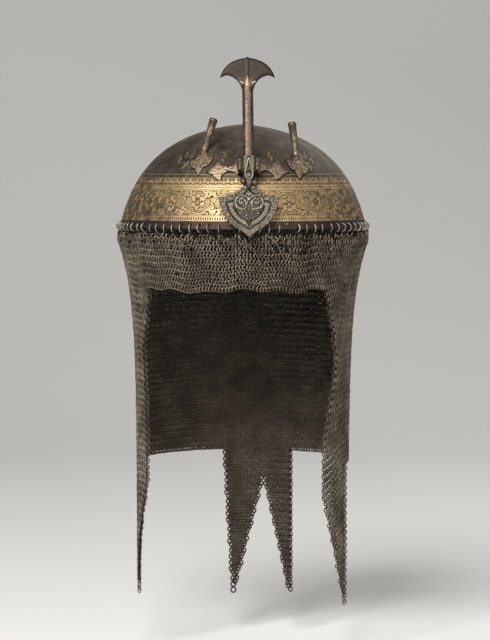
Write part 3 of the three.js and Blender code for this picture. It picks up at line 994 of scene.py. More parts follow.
@dataclass
class MailCurtain:
    """The mail: rings in rows that lean to and fro, cut to an opening, a hem and four points.

    Angles are degrees from the middle of the face opening. The lost shares are those of the first
    row, of the next two and of the rest; stray is how far a ring strays, in degrees round the helmet
    and in millimetres of height; loose_place is the middle and the half width of the loose patch.
    """

    ring: Ring = Ring(radius=2.15, wire=0.54, segments=8, sides=4)
    stouter: float = 0.2
    wider: float = 0.17
    stout_from: Span = (78.0, 122.0)
    steps: int = 4
    columns: int = 216
    top: float = -5.6
    back_rise: float = 1.9
    double_rows: int = 3
    double_from: float = 0.2
    row_pitch: float = 2.7
    turn: float = -7.0
    low_radius: float = 88.0
    flare: float = 16.4
    flare_start: float = -12.0
    flare_length: float = 45.0
    opening_half: float = 62.5
    forehead_half: float = 49.5
    forehead_edge: float = -52.0
    corner: float = -102.0
    hem: float = -200.0
    point_width: float = 24.0
    point_top: float = -213.0
    right_drop: float = 11.0
    point_tips: Span = (-316.0, -324.0)
    back_tip: float = -326.0
    back_notch: Span = (172.5, -221.0)
    back_tips: Span = (156.2, 190.1)
    back_edges: Span = (155.4, 194.4)
    swing: float = 10.0
    swing_spread: float = 25.0
    slip: float = 19.0
    slip_spread: float = 26.0
    lean: float = 38.0
    even_pitch: float = 3.0
    lean_rise: float = 12.0
    uneven: float = 6.0
    stray: Span = (0.08, 0.12)
    lost: tuple[float, ...] = (0.26, 0.10, 0.004)
    loose_lost: float = 0.22
    loose_rows: int = 6
    loose_place: Span = (20.0, 11.0)
    row_shade: float = 0.3
    most_faces: int = 150000
    seed: int = 11

    def radius(self, angle: Array, z: Array) -> Array:
        """Distance of the mail from the axis.

        Args:
            angle: angles in radians from the front.
            z: heights.

        Returns:
            The distances.
        """
        flare = self.flare * np.exp(-np.maximum(0.0, self.flare_start - z) / self.flare_length)
        folds = np.cos(3 * angle + 0.7) + np.cos(5 * angle + 2) + 0.8 * np.cos(9 * angle)
        return self.low_radius + flare + ease(-z, 30, 190) * folds

    def sway(self, around: Array, z: Array) -> Array:
        """How far, in degrees, the right free edge swings at a height.

        Args:
            around: angles.
            z: heights.

        Returns:
            The swings.
        """
        near = swell(around, self.opening_half, self.swing_spread)
        return -self.swing * near * ease(-z, 115, 185)

    def sag(self, around: Array, row: Array) -> Array:
        """How far the top rows hang down between the rim's rings.

        Args:
            around: angles.
            row: rows from the top.

        Returns:
            The drops.
        """
        between = np.abs(np.sin(np.radians((around + self.turn) * DOME.holes / 2)))
        wave = 0.5 + 0.5 * np.sin(np.radians(around * 11))
        return (0.4 + 1.5 * between * wave) * np.exp(-row / 2.0)

    def drop(self, around: Array, z: Array) -> Array:
        """How far the rows slip down towards the right free edge.

        Args:
            around: angles.
            z: heights.

        Returns:
            The drops.
        """
        near = np.clip(1 - (around - self.opening_half) / self.slip_spread, 0, 1)
        near = near * (around > 0) * (around < 90)
        return self.slip * ease(-z, 90, 220) * near**1.4

    def wave(self, around: Array) -> Array:
        """How the forehead's lower edge rises and dips."""
        return 1.2 * np.sin(0.34 * around) + 1.2 * np.sin(0.13 * around + 0.8)

    def bottom(self, around: Array) -> Array:
        """Height of the mail's lower edge, for angles in degrees from the middle of the opening.

        Args:
            around: angles.

        Returns:
            The heights.
        """
        a = around % 360
        tip = self.opening_half + self.point_width
        edge = 1e-6
        left, right = self.point_tips
        notch, notch_height = self.back_notch
        corners = [
            (self.forehead_half, self.forehead_edge),
            (self.opening_half, self.corner),
            (self.opening_half + edge, self.point_top - self.right_drop),
            (tip, right),
            (tip + edge, self.hem),
            (self.back_edges[0] - edge, self.hem),
            (self.back_edges[0], self.back_tip + 5),
            (self.back_tips[0], self.back_tip),
            (notch, notch_height),
            (self.back_tips[1], self.back_tip),
            (self.back_edges[1], self.point_top),
            (self.back_edges[1] + edge, self.hem),
            (360 - tip - edge, self.hem),
            (360 - tip, left),
            (360 - self.opening_half - edge, self.point_top),
            (360 - self.opening_half, self.corner),
            (360 - self.forehead_half, self.forehead_edge),
        ]
        at, height = zip(*corners)
        lower = np.interp(a, at, height)
        forehead = (a < self.forehead_half) | (a > 360 - self.forehead_half)
        return np.where(forehead, self.forehead_edge + self.wave(around), lower)

    def place(self, around: Array, z: Array) -> tuple[Array, Array, Array]:
        """Points of the mail's middle surface.

        Args:
            around: angles in degrees from the middle of the opening.
            z: heights.

        Returns:
            The points, with the sideways and downward directions along the surface.
        """
        step = 0.5
        angle = np.radians(around + self.turn + self.sway(around, z))

        def point(turn: Array, height: Array) -> Array:
            """One point of the surface."""
            reach = self.radius(turn, height)
            return spots(reach * np.sin(turn), -reach * np.cos(turn), height)

        here = point(angle, z)
        down = point(angle, z - step) - here
        aside = point(angle + 0.01, z) - here
        down /= np.linalg.norm(down, axis=-1, keepdims=True)
        aside /= np.linalg.norm(aside, axis=-1, keepdims=True)
        return here, aside, down

    def layout(self, draw: np.random.Generator) -> tuple[Array, ...]:
        """Sets the rings out in rows, and leaves out those past the edges and those that are lost.

        Args:
            draw: where the random numbers come from.

        Returns:
            For each ring: its row, its angle in degrees from the middle of the opening, its height, how
            far it is behind the sides, 0 to 1, and whether it doubles a row.
        """
        rows = int((self.top - min(*self.point_tips, self.back_tip)) / self.row_pitch) + 1
        row = np.repeat(np.arange(rows), self.columns)
        column = np.tile(np.arange(self.columns), rows) + 0.5 * (row % 2)
        extra = row < self.double_rows
        double = np.append(np.zeros(len(row), bool), extra[extra])
        row, column = np.append(row, row[extra]), np.append(column, column[extra] + 0.5)
        around = (column * 360 / self.columns + 180) % 360 - 180
        first, last = self.stout_from
        behind = np.clip((np.abs(around) - first) / (last - first), 0, 1)
        z = self.top - row * self.row_pitch + self.back_rise * behind - self.sag(around, row) * (1 - behind)
        z = z - self.drop(around, z)
        ahead = np.clip(2 - np.abs(around) / self.forehead_half, 0, 1)
        z = z + self.wave(around) * ahead * np.clip(z / self.forehead_edge, 0, 1)
        kept = z - self.ring.radius > self.bottom(around)
        middle, half = self.loose_place
        loose = (row < self.loose_rows) & (np.abs(around + self.turn - middle) < half)
        first_lost, upper_lost, lower_lost = self.lost
        lost = np.where(row < 1, first_lost, np.where(row < 3, upper_lost, lower_lost))
        lost = np.where(loose, self.loose_lost, lost)
        kept &= draw.random(len(row)) > lost * (1 - behind)
        kept &= ~double | (behind > self.double_from)
        return tuple(part[kept] for part in (row, around, z, behind, double))

    def build(self) -> None:
        """Sets out every ring and makes the pieces."""
        draw = np.random.default_rng(self.seed)
        row, around, z, behind, double = self.layout(draw)
        count = len(row)
        rough = 1 + 2.5 * np.exp(-row / 4.0) * (1 - behind)
        around = around + draw.normal(0, self.stray[0], count) * rough
        z = z + draw.normal(0, self.stray[1], count) * rough
        centre, aside, down = self.place(around, z)
        outward = np.cross(down, aside)
        pitch = TURN * np.hypot(centre[:, 0], centre[:, 1]) / self.columns
        uneven = self.uneven * (0.4 + 0.6 * rough)
        lean = self.lean + (self.even_pitch - pitch) * self.lean_rise + draw.normal(0, 1, count) * uneven
        lean *= np.where((row % 2 == 0) != double, -1, 1) * (1 - 0.7 * behind)
        lean = np.radians(lean)[:, None]
        flat = aside * np.cos(lean) + outward * np.sin(lean)
        tip = np.radians(draw.normal(0, 1, count) * uneven)[:, None]
        second = down * np.cos(tip) + np.cross(down, flat) * np.sin(tip)
        normal = np.cross(second, flat)
        iron = WireIron().material()
        level = np.minimum((behind * self.steps).astype(int), self.steps - 1)
        for step in range(self.steps):
            share = step / (self.steps - 1)
            ring = replace(
                self.ring,
                radius=self.ring.radius + self.wider * share,
                wire=self.ring.wire + self.stouter * share,
                segments=self.ring.segments - (step > 1),
            )
            chosen = np.flatnonzero(level == step)
            pieces = math.ceil(len(chosen) * ring.segments * ring.sides * 2 / self.most_faces)
            for index, rings in enumerate(np.array_split(chosen, pieces)):
                frame = [part[rings] for part in (centre, second, flat, normal, outward)]
                points, faces, painted_light = ring.many(*frame)
                # Every other row is darkened: painted shade, as rows that lean the other way catch less
                # light.
                painted_light *= np.repeat(1 - self.row_shade * (row[rings] % 2), len(ring.points()))
                name = f"mail_{step + 1}_{index + 1}"
                piece = make_piece(name, points, faces, iron, Body.HELMET, relief=painted_light)
                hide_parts("mail_curtain")
        LOG.info("mail: %d rings", count)


# ---- Plates with relief ----


class Outline:
    """Half of a mirrored outline: straight edges by their end, curved ones by control point and end."""

    def __init__(self, start: Span, *edges: tuple[float, ...]) -> None:
        """Draws the half outline.

        Args:
            start: where it starts, on or beside the middle line.
            edges: its edges.
        """
        points = [np.array([start])]
        last = np.array(start)
        for edge in edges:
            end = np.array(edge[-2:])
            t = np.linspace(0, 1, 25)[1:, None]
            if len(edge) == 4:
                control = np.array(edge[:2])
                points.append((1 - t) ** 2 * last + 2 * t * (1 - t) * control + t * t * end)
            else:
                points.append(last + (end - last) * t)
            last = end
        self.points = np.concatenate(points)

    def distance(self, x: Array, z: Array) -> tuple[Array, Array]:
        """Distance of points to the outline, and the place along it that is nearest.

        Args:
            x: their places across, on either side.
            z: their heights.

        Returns:
            Distance and length along the outline.
        """
        start, end = self.points[:-1], self.points[1:]
        step = end - start
        size = np.hypot(*step.T)
        along = np.concatenate([[0], np.cumsum(size)])[:-1]
        place = np.stack([np.abs(x).ravel(), z.ravel()], axis=-1)
        best = np.full(len(place), 1e9)
        nearest = np.zeros(len(place))
        for a, d, length, run in zip(start, step, size, along):
            if length < 1e-9:
                continue
            share = np.clip(((place - a) @ d) / length**2, 0, 1)
            gap = np.hypot(*(place - a - share[:, None] * d).T)
            closer = gap < best
            best = np.where(closer, gap, best)
            nearest = np.where(closer, run + share * length, nearest)
        return best.reshape(x.shape), nearest.reshape(x.shape)

    def across(self, rows: int, columns: int, edge: float = 0.0, wave: float = 2.0) -> tuple[Array, Array]:
        """A grid that fills the outline, row by row from bottom to top.

        Args:
            rows: how many rows.
            columns: how many points in a row.
            edge: how far the rim wavers in and out.
            wave: the length of one waver.

        Returns:
            The places across and the heights of the grid's points.
        """
        z, width = self.points[:, 1], self.points[:, 0]
        length = np.concatenate([[0], np.cumsum(np.hypot(np.diff(width), np.diff(z)))])
        order = np.argsort(z, kind="stable")
        run = np.linspace(length[0], length[-1], rows)
        height = np.interp(run, length[order], z[order])
        half = np.interp(run, length[order], width[order])
        half = half - edge * (0.5 + 0.5 * np.cos(TURN * run / wave)) * (half > 1.0)
        share = np.sin(np.linspace(-1, 1, columns) * math.pi / 2 * 0.75) / math.sin(math.pi / 2 * 0.75)
        x = np.maximum(half, 0.02)[:, None] * share[None, :]
        return x, np.broadcast_to(height[:, None], x.shape).copy()

    def along(self, lower: "Outline", rows: int, columns: int) -> tuple[Array, Array]:
        """A grid between this upper outline and a lower one, column by column from side to side.

        Args:
            lower: the outline below.
            rows: how many points up a column.
            columns: how many columns.

        Returns:
            The places across and the heights of the grid's points.
        """
        width = self.points[:, 0].max()
        x = np.linspace(-width, width, columns)
        edges = [np.interp(np.abs(x), o.points[:, 0], o.points[:, 1]) for o in (lower, self)]
        share = np.linspace(0, 1, rows)[:, None]
        z = edges[0] * (1 - share) + np.maximum(edges[1], edges[0] + 0.02) * share
        return np.broadcast_to(x, z.shape).copy(), z


def closed_grid(front: Array, back: Array) -> tuple[Array, list]:
    """Joins a front and a back grid of points into a closed slab.

    Args:
        front: rows of points seen from the front, left to right and bottom to top.
        back: rows of points on the back, which may be fewer, with the same corners.

    Returns:
        Points and faces.
    """
    count = front.shape[0] * front.shape[1]
    near = np.arange(count).reshape(front.shape[:2])
    far = np.arange(back.shape[0] * back.shape[1]).reshape(back.shape[:2]) + count
    faces = grid_faces(*front.shape[:2]).tolist()
    faces += grid_faces(*back.shape[:2], start=count)[:, ::-1].tolist()
    rims = [(grid[0], grid[:, -1], grid[-1, ::-1], grid[::-1, 0]) for grid in (near, far)]
    for ahead, behind in zip(*rims):
        if len(ahead) == len(behind):
            faces += np.stack([ahead[1:], ahead[:-1], behind[:-1], behind[1:]], axis=-1).tolist()
        else:
            faces.append([*ahead[::-1].tolist(), *behind.tolist()])
    return np.concatenate([front.reshape(-1, 3), back.reshape(-1, 3)]), faces


def plate(front: Array, back: Array, shade: Array, behind: float = 0.0) -> tuple[Array, list, Array]:
    """Joins a front and a back grid into a closed slab that keeps the front's relief.

    Args:
        front: rows of points seen from the front, left to right and bottom to top.
        back: rows of points on the back, which may be fewer, with the same corners.
        shade: the relief of the front's points.
        behind: the relief of the back.

    Returns:
        Points, faces and each point's relief.
    """
    return *closed_grid(front, back), np.append(shade, np.full(back[..., 0].size, behind))


def joined(*parts: tuple[Array, Array | list]) -> tuple[Array, list]:
    """Puts several sets of points and faces together.

    Args:
        parts: the sets.

    Returns:
        All the points and faces.
    """
    points, faces, start = [], [], 0
    for places, polygons in parts:
        points.append(places)
        faces += [[int(corner) + start for corner in polygon] for polygon in polygons]
        start += len(places)
    return np.concatenate(points), faces


def swept(sections: Array, closed: bool = False) -> tuple[Array, Array]:
    """Skins a row of closed sections, with caps unless the row itself is closed.

    Args:
        sections: the sections, each with the same even number of points.
        closed: whether the last section joins the first.

    Returns:
        Points and faces.
    """
    count, sides = sections.shape[:2]
    points = sections.reshape(-1, 3)
    if closed:
        return points, grid_faces(count + 1, sides, around=True) % len(points)
    faces = grid_faces(count, sides, around=True)
    start = np.arange(0, sides // 2 - 1)
    mirror = sides - 1 - start
    cap = np.stack([start, mirror, mirror - 1, start + 1], axis=-1)
    return points, np.concatenate([faces, cap, cap[:, ::-1] + (count - 1) * sides])


def dome_stud(x: float, z: float, front: float, radius: float, rise: float) -> tuple[Array, Array]:
    """A low round stud that stands on a plate facing forwards.

    Args:
        x: its place across.
        z: its height.
        front: how far forwards its foot is.
        radius: its radius.
        rise: how far it stands out.

    Returns:
        Points and faces.
    """
    turn = circle(16)
    sections = []
    for share in np.linspace(0, 1, 7):
        reach = radius * math.cos(share * math.pi / 2 * 0.97)
        out = front + rise * math.sin(share * math.pi / 2) - 0.2 * (share == 0)
        sections.append(spots(x + reach * np.cos(turn), -out, z + reach * np.sin(turn)))
    return swept(np.array(sections))


def bent_loop(path: Array, wide: float, deep: float) -> tuple[Array, Array]:
    """A bar of oval section bent along a closed path in a plane that faces forwards.

    Args:
        path: the path's points.
        wide: half the bar's width in that plane.
        deep: half its depth.

    Returns:
        Points and faces.
    """
    along = np.roll(path, -1, axis=0) - np.roll(path, 1, axis=0)
    along /= np.linalg.norm(along, axis=1, keepdims=True)
    ahead = np.array([0.0, -1.0, 0.0])
    turn = circle(10)[None, :, None]
    ring = np.cross(ahead, along)[:, None, :] * wide * np.cos(turn) + ahead * deep * np.sin(turn)
    return swept(path[:, None, :] + ring, closed=True)


def stroke(x: Array, z: Array, path: Array, half: float) -> Array:
    """Height, 0 to 1, of a rounded line drawn along a path on a plate.

    Args:
        x: places across.
        z: heights.
        path: the line's points.
        half: half its width.

    Returns:
        The height at each place.
    """
    best = np.full(x.shape, 1e9)
    for (ax, az), (bx, bz) in zip(path[:-1], path[1:]):
        length = (bx - ax) ** 2 + (bz - az) ** 2 + 1e-12
        share = np.clip(((x - ax) * (bx - ax) + (z - az) * (bz - az)) / length, 0, 1)
        best = np.minimum(best, np.hypot(x - ax - share * (bx - ax), z - az - share * (bz - az)))
    return np.sqrt(np.clip(1 - (best / half) ** 2, 0, 1))


def arc(x: float, z: float, radius: float, first: float, last: float, end: float | None = None) -> Array:
    """An arc or a spiral.

    Args:
        x: its middle, across.
        z: its middle's height.
        radius: its radius where it starts.
        first: the angle in degrees where it starts, from +X towards +Z.
        last: the angle where it ends.
        end: its radius where it ends, if another.

    Returns:
        Its points.
    """
    share = np.linspace(0, 1, 22)
    turn = np.radians(first + (last - first) * share)
    reach = radius + ((radius if end is None else end) - radius) * share
    return np.stack([x + reach * np.cos(turn), z + reach * np.sin(turn)], axis=-1)


# ---- Nasal ----


@dataclass(frozen=True)
class WornSteel:
    """Brown steel with copper-red wear and what is left of its gilding."""

    def material(self) -> bpy.types.Material:
        """Builds the material.

        Returns:
            The material.
        """
        bench = Bench("nasal_steel")
        x, _, z = bench.axes()
        patch = bench.noise(5.0, 6.0)
        speck = bench.noise(0.9, 4.0, shift=8.0)
        red = bench.noise(9.0, 4.0, shift=17.0).ramp(0.48, 0.66) * z.ramp(116.0, 124.0, 1.0, 0.15)
        ahead = (x.abs() * -1.0).ramp(-2.6, -2.1) * (z * -1.0).ramp(-126.0, -122.0)
        bright = speck.ramp(0.40, 0.62)
        gold = bench.noise(2.2, 4.0, shift=27.0).ramp(0.56, 0.64) * 0.5
        colour = bench.paint(
            (0.038, 0.029, 0.022),
            (patch.ramp(0.35, 0.65), (0.092, 0.072, 0.054)),
            (red * 0.55, (0.11, 0.050, 0.031)),
            (ahead * (0.12 + bright * 0.5), (0.19, 0.138, 0.105)),
            (gold * 0.45, (0.30, 0.21, 0.10)),
            (z.ramp(118.0, 125.0) * 0.9, (0.030, 0.024, 0.019)),
            (bench.relief().ramp(0.55, 0.95) * 0.5, (0.40, 0.29, 0.17)),
        )
        rough = 0.55 - bright * 0.12 + patch * 0.1
        return bench.finish(colour, 0.92, rough, speck * 0.6 + patch * 0.4, 0.12)


@dataclass
class NasalBar:
    """The sliding bar with three front facets, and the fan that crowns it."""

    bottom: float = 36.0
    neck: float = 118.0
    top: float = 144.6
    half: float = 4.5
    facet: float = 2.25
    front: float = 2.5
    edge: float = 0.6
    back: float = 1.5
    bevel: float = 0.28
    fan_half: float = 22.5
    fan_thick: float = 1.2
    droop: float = 18.0

    def section(self) -> Array:
        """The bar's section as X and Y, with small bevels, starting at the left of the front.

        Returns:
            Its points.
        """
        corners = [
            (-self.facet, -self.front),
            (self.facet, -self.front),
            (self.half, -self.edge),
            (self.half, self.back),
            (-self.half, self.back),
            (-self.half, -self.edge),
        ]
        points = []
        for i, corner in enumerate(corners):
            here = np.array(corner)
            for other in (corners[i - 1], corners[(i + 1) % len(corners)]):
                aim = np.array(other) - here
                points.append(here + aim / np.linalg.norm(aim) * self.bevel)
        return np.array(points)[::-1]

    def bar(self) -> tuple[Array, Array]:
        """The bar, a little uneven from hand filing.

        Returns:
            Points and faces.
        """
        heights = np.linspace(self.bottom, self.neck + 1.0, 60)
        section = self.section()
        waver = 1 - 0.012 - 0.010 * np.sin(heights * 0.31) * np.sin(heights * 0.087)
        x, y = section.T[:, None, :] * waver[:, None]
        return swept(spots(x, y, heights[:, None]))

    def fan(self) -> tuple[Array, list, Array]:
        """The fan: a thin plate with a beaded edge and a faint rib, on a tongue of the bar.

        Returns:
            Points, faces and each point's relief.
        """
        tip = self.top - self.droop
        upper = Outline(
            (0, self.top),
            (1.4, self.top - 1.1),
            (self.fan_half - 4, self.top - 3, self.fan_half, tip),
        )
        lower = Outline(
            (0, self.neck - 2),
            (self.half, self.neck - 2),
            (self.half + 3, tip + 1, self.fan_half - 5, tip + 2.2),
            (self.fan_half, tip - 0.1),
        )
        x, z = upper.along(lower, 50, 145)
        gap = np.minimum(*(o.distance(x, z)[0] for o in (upper, lower)))
        middle = swell(x, 0, 0.9) * np.clip(gap / 2, 0, 1)
        bead = np.clip(1 - np.abs(gap - 0.7) / 0.5, 0, 1)
        tongue = np.clip((self.neck + 11.2 - z) / 9.0, 0, 1) ** 0.7 * 2.3 - np.abs(x)
        tongue = np.clip(tongue / 0.5, 0, 1)
        bow = 0.35 * np.clip(gap / 3, 0, 1)
        height = bow + 0.22 * middle + 0.15 * bead
        thick = self.fan_thick * np.clip(0.35 + gap / 2.0, 0, 1)
        front = spots(x, -(thick - 0.6 + height * 0.8 + 0.45 * tongue), z)
        shade = np.clip(0.3 + 0.15 * bead + 0.1 * middle + tongue, 0, 1)
        return plate(front, spots(x, thick - 0.25, z)[::7], shade, 0.3)

    def pierce(self, piece: bpy.types.Object) -> None:
        """Cuts the two slanting eyes above the neck.

        Args:
            piece: the fan.
        """
        for side in (-1, 1):
            corners = [(2.9, 3.0), (6.9, 5.0), (6.2, 6.7), (3.5, 5.7)][::side]
            ring = [(side * x, self.neck + z) for x, z in corners]
            points, faces = swept(np.array([[(x, y, z) for x, z in ring] for y in (-4.0, 4.0)]))
            mesh = bpy.data.meshes.new("eye")
            mesh.from_pydata((SLIDE.place(points) * MM).tolist(), [], faces.tolist())
            close_up(mesh)
            cutter = put("eye", mesh)
            cut = piece.modifiers.new("eye", "BOOLEAN")
            cut.operation, cut.solver, cut.object = "DIFFERENCE", "EXACT", cutter
            bpy.context.view_layer.update()
            graph = bpy.context.evaluated_depsgraph_get()
            shaped = bpy.data.meshes.new_from_object(piece.evaluated_get(graph))
            piece.modifiers.clear()
            piece.data = shaped
            bpy.data.objects.remove(cutter)

    def build(self) -> None:
        """Builds the bar and its fan."""
        steel = WornSteel().material()
        studs = [dome_stud(s * 3.6, self.neck + 1.9, 0.7, 1.2, 1.0) for s in (-1, 1)]
        points, faces = joined(self.bar(), *studs)
        bar = make_piece("nasal_bar_steel", SLIDE.place(points), faces, steel, Body.NASAL, sharp=24)
        points, faces, shade = self.fan()
        fan = make_piece("nasal_fan", SLIDE.place(points), faces, steel, Body.NASAL, shade)
        self.pierce(fan)
        fan.data.set_sharp_from_angle(angle=math.radians(35))
        for piece in (bar, fan):
            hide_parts("nasal_bar")


@dataclass(frozen=True)
class ChiselledSteel:
    """Grey steel cut in relief: dark in the hollows and worn bright on the ridges; on the bracket, the
    collar and the catch its relief number is painted light and shade.
    """

    name: str = "chiselled_steel"
    ridge_and_highlight: Colour = (0.26, 0.235, 0.19)

    def material(self) -> bpy.types.Material:
        """Builds the material.

        Returns:
            The material.
        """
        bench = Bench(self.name)
        patch = bench.noise(6.0, 5.0)
        grain = bench.noise(0.7, 4.0, shift=5.0)
        height = bench.relief() + (patch - 0.5) * 0.25 + (grain - 0.5) * 0.3
        gilt = bench.noise(4.0, 4.0, shift=15.0).ramp(0.54, 0.66)
        colour = bench.paint(
            (0.020, 0.016, 0.012),
            (height.ramp(0.0, 0.3), (0.115, 0.099, 0.076)),
            # The ridge colour: worn ridges on the leaf, painted highlight on the bracket, the collar and the
            # catch.
            (height.ramp(0.35, 0.95), self.ridge_and_highlight),
            (gilt * 0.3, (0.26, 0.20, 0.10)),
        )
        rough = 0.58 - height.ramp(0.3, 0.9) * 0.2
        return bench.finish(colour, 0.93, rough, grain * 0.7 + patch * 0.3, 0.1)


@dataclass
class NasalLeaf:
    """The broad leaf below the bar, with scrollwork in relief and a trefoil collar."""

    tip: float = -7.0
    corner: float = 26.5
    neck: float = 35.5
    half: float = 25.2
    neck_half: float = 5.2
    bar_half: float = 4.85
    thick: float = 1.0
    rise: float = 1.2

    def outline(self) -> Outline:
        """The right half of the leaf's edge."""
        return Outline(
            (0, self.tip),
            (6.5, self.tip + 5.6),
            (17.0, self.tip + 10.3, self.half - 3.6, self.tip + 21.5),
            (self.half, self.corner),
            (13, self.corner + 0.3, self.neck_half, self.neck),
        )

    def scrolls(self) -> list[tuple[Array, float]]:
        """Paths and half widths of the strokes of the heart's scrollwork, for its right half."""
        foot = np.array([(4.4, 16.8), (3.0, 15.4), (1.9, 13.1), (2.1, 11.2)])
        return [
            (arc(5.7, 22.3, 5.7, 160, -105), 0.62),
            (arc(5.9, 22.4, 3.6, 215, -120, 1.0), 0.60),
            (arc(8.9, 19.9, 1.5, 100, -170, 0.8), 0.42),
            (arc(4.2, 25.3, 1.3, -30, 230), 0.40),
            (arc(8.6, 24.6, 1.2, 160, -90), 0.40),
            (arc(3.6, 19.8, 1.1, 60, -200), 0.38),
            (np.array([(0.2, 25.9), (1.3, 22.8), (2.3, 19.6), (2.7, 17.2), (4.4, 16.8)]), 0.55),
            (np.concatenate([foot, arc(2.1, 9.5, 1.7, 90, -170, 0.8)]), 0.48),
            (arc(6.4, 13.8, 1.9, 150, -80, 1.0), 0.45),
            (arc(9.6, 16.6, 1.1, 180, -60), 0.4),
            (arc(4.6, 10.6, 1.0, 130, -110), 0.38),
            (arc(3.0, 6.1, 1.0, 130, -90), 0.38),
            (arc(1.6, 3.4, 0.8, 150, -90), 0.34),
            (arc(10.2, 22.6, 0.9, 200, -90), 0.36),
            (arc(6.6, 27.0, 0.8, 20, 260), 0.34),
            (arc(6.6, 18.2, 0.9, 60, -160), 0.36),
            (arc(3.4, 22.6, 0.8, 100, -140), 0.34),
            (arc(7.6, 11.9, 0.8, 150, -110), 0.34),
            (np.array([(0.0, 8.6), (0.0, 1.6)]), 0.45),
            (np.array([(0.0, 28.3), (1.6, 29.0), (3.0, 28.0)]), 0.45),
        ]

    def relief(self, x: Array, z: Array) -> tuple[Array, Array]:
        """Cuts the relief.

        Args:
            x: places across.
            z: heights.

        Returns:
            How far each place stands out of the plate, and its shade, 0 in hollows to 1 on ridges.
        """
        gap, run = self.outline().distance(x, z)
        side = np.abs(x)
        lobes = 0.5 + 0.5 * np.cos(TURN * run / 3.3)
        border = np.clip(gap / 0.6, 0, 1) * np.clip((4.9 - gap) / 0.6, 0, 1)
        curl = np.cos(TURN * (run / 3.3 + 0.35 * np.sin(gap * 1.3))) * np.sin(gap * 1.9 + run * 0.7)
        leafy = border * (0.25 + 0.45 * lobes * np.sin(np.clip(gap / 4.9, 0, 1) * math.pi) + 0.6 * curl)
        off = gap - (7.2 + 0.6 * np.clip(z / 23, 0, 1))
        chased = 0.2 * np.cos(TURN * run / 2.4) * np.sin(gap * 2.3) + 0.12 * np.sin(run * 1.7)
        band = np.clip((1.95 - np.abs(off)) / 0.5, 0, 1) * (0.68 + chased)
        inner = np.clip((off - 2.4) / 0.6, 0, 1)
        scroll = np.zeros_like(x)
        for path, half in self.scrolls():
            scroll = np.maximum(scroll, stroke(side, z, path, half * 1.08))
        for bx, bz, size in ((0.0, 18.8, 1.15), (0.0, 16.1, 0.85), (5.9, 22.3, 1.0), (0.0, 0.9, 0.8)):
            near = np.hypot(side - bx, z - bz) / size
            scroll = np.maximum(scroll, np.sqrt(np.clip(1 - near**2, 0, 1)))
        heart = (np.hypot(side - 5.7, (z - 22.0) * 0.95) < 7.2) & (z < 29.2)
        point = (side < (z - 1.0) * 0.5) & (z < 22)
        in_field = np.where(heart | point | ((off > 2.3) & (z < 27.5)), 1.0, 0.0)
        edge = np.clip(1 - np.abs(gap - 0.5) / 0.45, 0, 1)
        cuts = swell(np.abs(off), 2.25, 0.35) * (1 - in_field)
        height = 0.45 * leafy + 0.25 * edge + 0.55 * band * (1 - in_field)
        height = np.where(in_field > 0, 0.15 + 0.25 * inner + scroll * 0.85, height)
        height = height - cuts * 0.45
        plain = np.clip((0.4 - z) / 1.0, 0, 1) * np.clip((6.5 - side) / 2, 0, 1)
        height = height * (1 - plain) + 0.32 * plain
        shade = 0.12 + 0.5 * leafy + 0.25 * edge + 0.45 * band * (1 - in_field)
        shade = np.where(in_field > 0, 0.06 + 0.62 * scroll + 0.04 * inner, shade)
        shade = shade - cuts * 0.6
        return height, np.clip(shade * (1 - plain) + 0.26 * plain, 0, 1)

    def collar(self) -> tuple[Array, Array]:
        """The trefoil in front of the bar's foot: a tongue between two knobs.

        Returns:
            Points and faces.
        """
        tongue = Outline(
            (0, self.neck - 4.4),
            (0.8, self.neck - 2.6, 1.6, self.neck + 0.2),
            (2.6, self.neck + 2.6),
            (3.0, self.neck + 5.4),
        )
        x, z = tongue.across(24, 15)
        gap, _ = tongue.distance(x, z)
        out = 2.95 + 1.4 * np.clip(gap / 1.2, 0, 1) ** 0.5
        back = np.where(z > self.neck - 0.6, 2.9, 0.6)
        slab = closed_grid(spots(x, -out, z), spots(x, -back, z))
        turn = circle(20)
        knobs = []
        for side in (-1, 1):
            rings = []
            for share in np.linspace(-0.97, 0.97, 13) * math.pi / 2:
                x = side * 4.75 + 2.55 * math.cos(share) * np.cos(turn)
                z = self.neck + 3.3 - 0.6 * side + 2.55 * math.cos(share) * np.sin(turn)
                rings.append(spots(x, -2.15 - 2.2 * math.sin(share), z))
            points, faces = swept(np.array(rings))
            inside = np.abs(points[:, 0]) < self.bar_half
            points[:, 1] = np.where(inside, np.minimum(points[:, 1], -2.9), points[:, 1])
            knobs.append((points, faces))
        return joined(slab, *knobs, dome_stud(0, self.neck + 1.4, 4.2, 1.1, 0.5))

    def build(self) -> None:
        """Builds the leaf and its collar."""
        x, z = self.outline().across(155, 111, edge=0.45, wave=1.65)
        height, shade = self.relief(x, z)
        gap, _ = self.outline().distance(x, z)
        worn = np.clip(0.45 + gap / 1.2, 0, 1)
        front = spots(x, -(self.thick * worn + np.clip(height, -0.3, self.rise)), z)
        back = spots(x, self.thick * worn, z)[:, ::10]
        points, faces, relief = plate(front, back, shade, 0.35)
        steel = ChiselledSteel().material()
        leaf = make_piece("nasal_leaf_plate", SLIDE.place(points), faces, steel, Body.NASAL, relief, 55)
        points, faces = self.collar()
        # The collar lightens the further forward its points stand: painted highlight on its front, painted
        # shade towards the bar.
        tone = np.clip(0.05 + (-points[:, 1] - 3.2) * 0.2, 0.03, 0.4)
        collar = make_piece("nasal_collar", SLIDE.place(points), faces, steel, Body.NASAL, tone, 55)
        for piece in (leaf, collar):
            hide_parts("nasal_leaf")


# ---- Bracket and catch ----


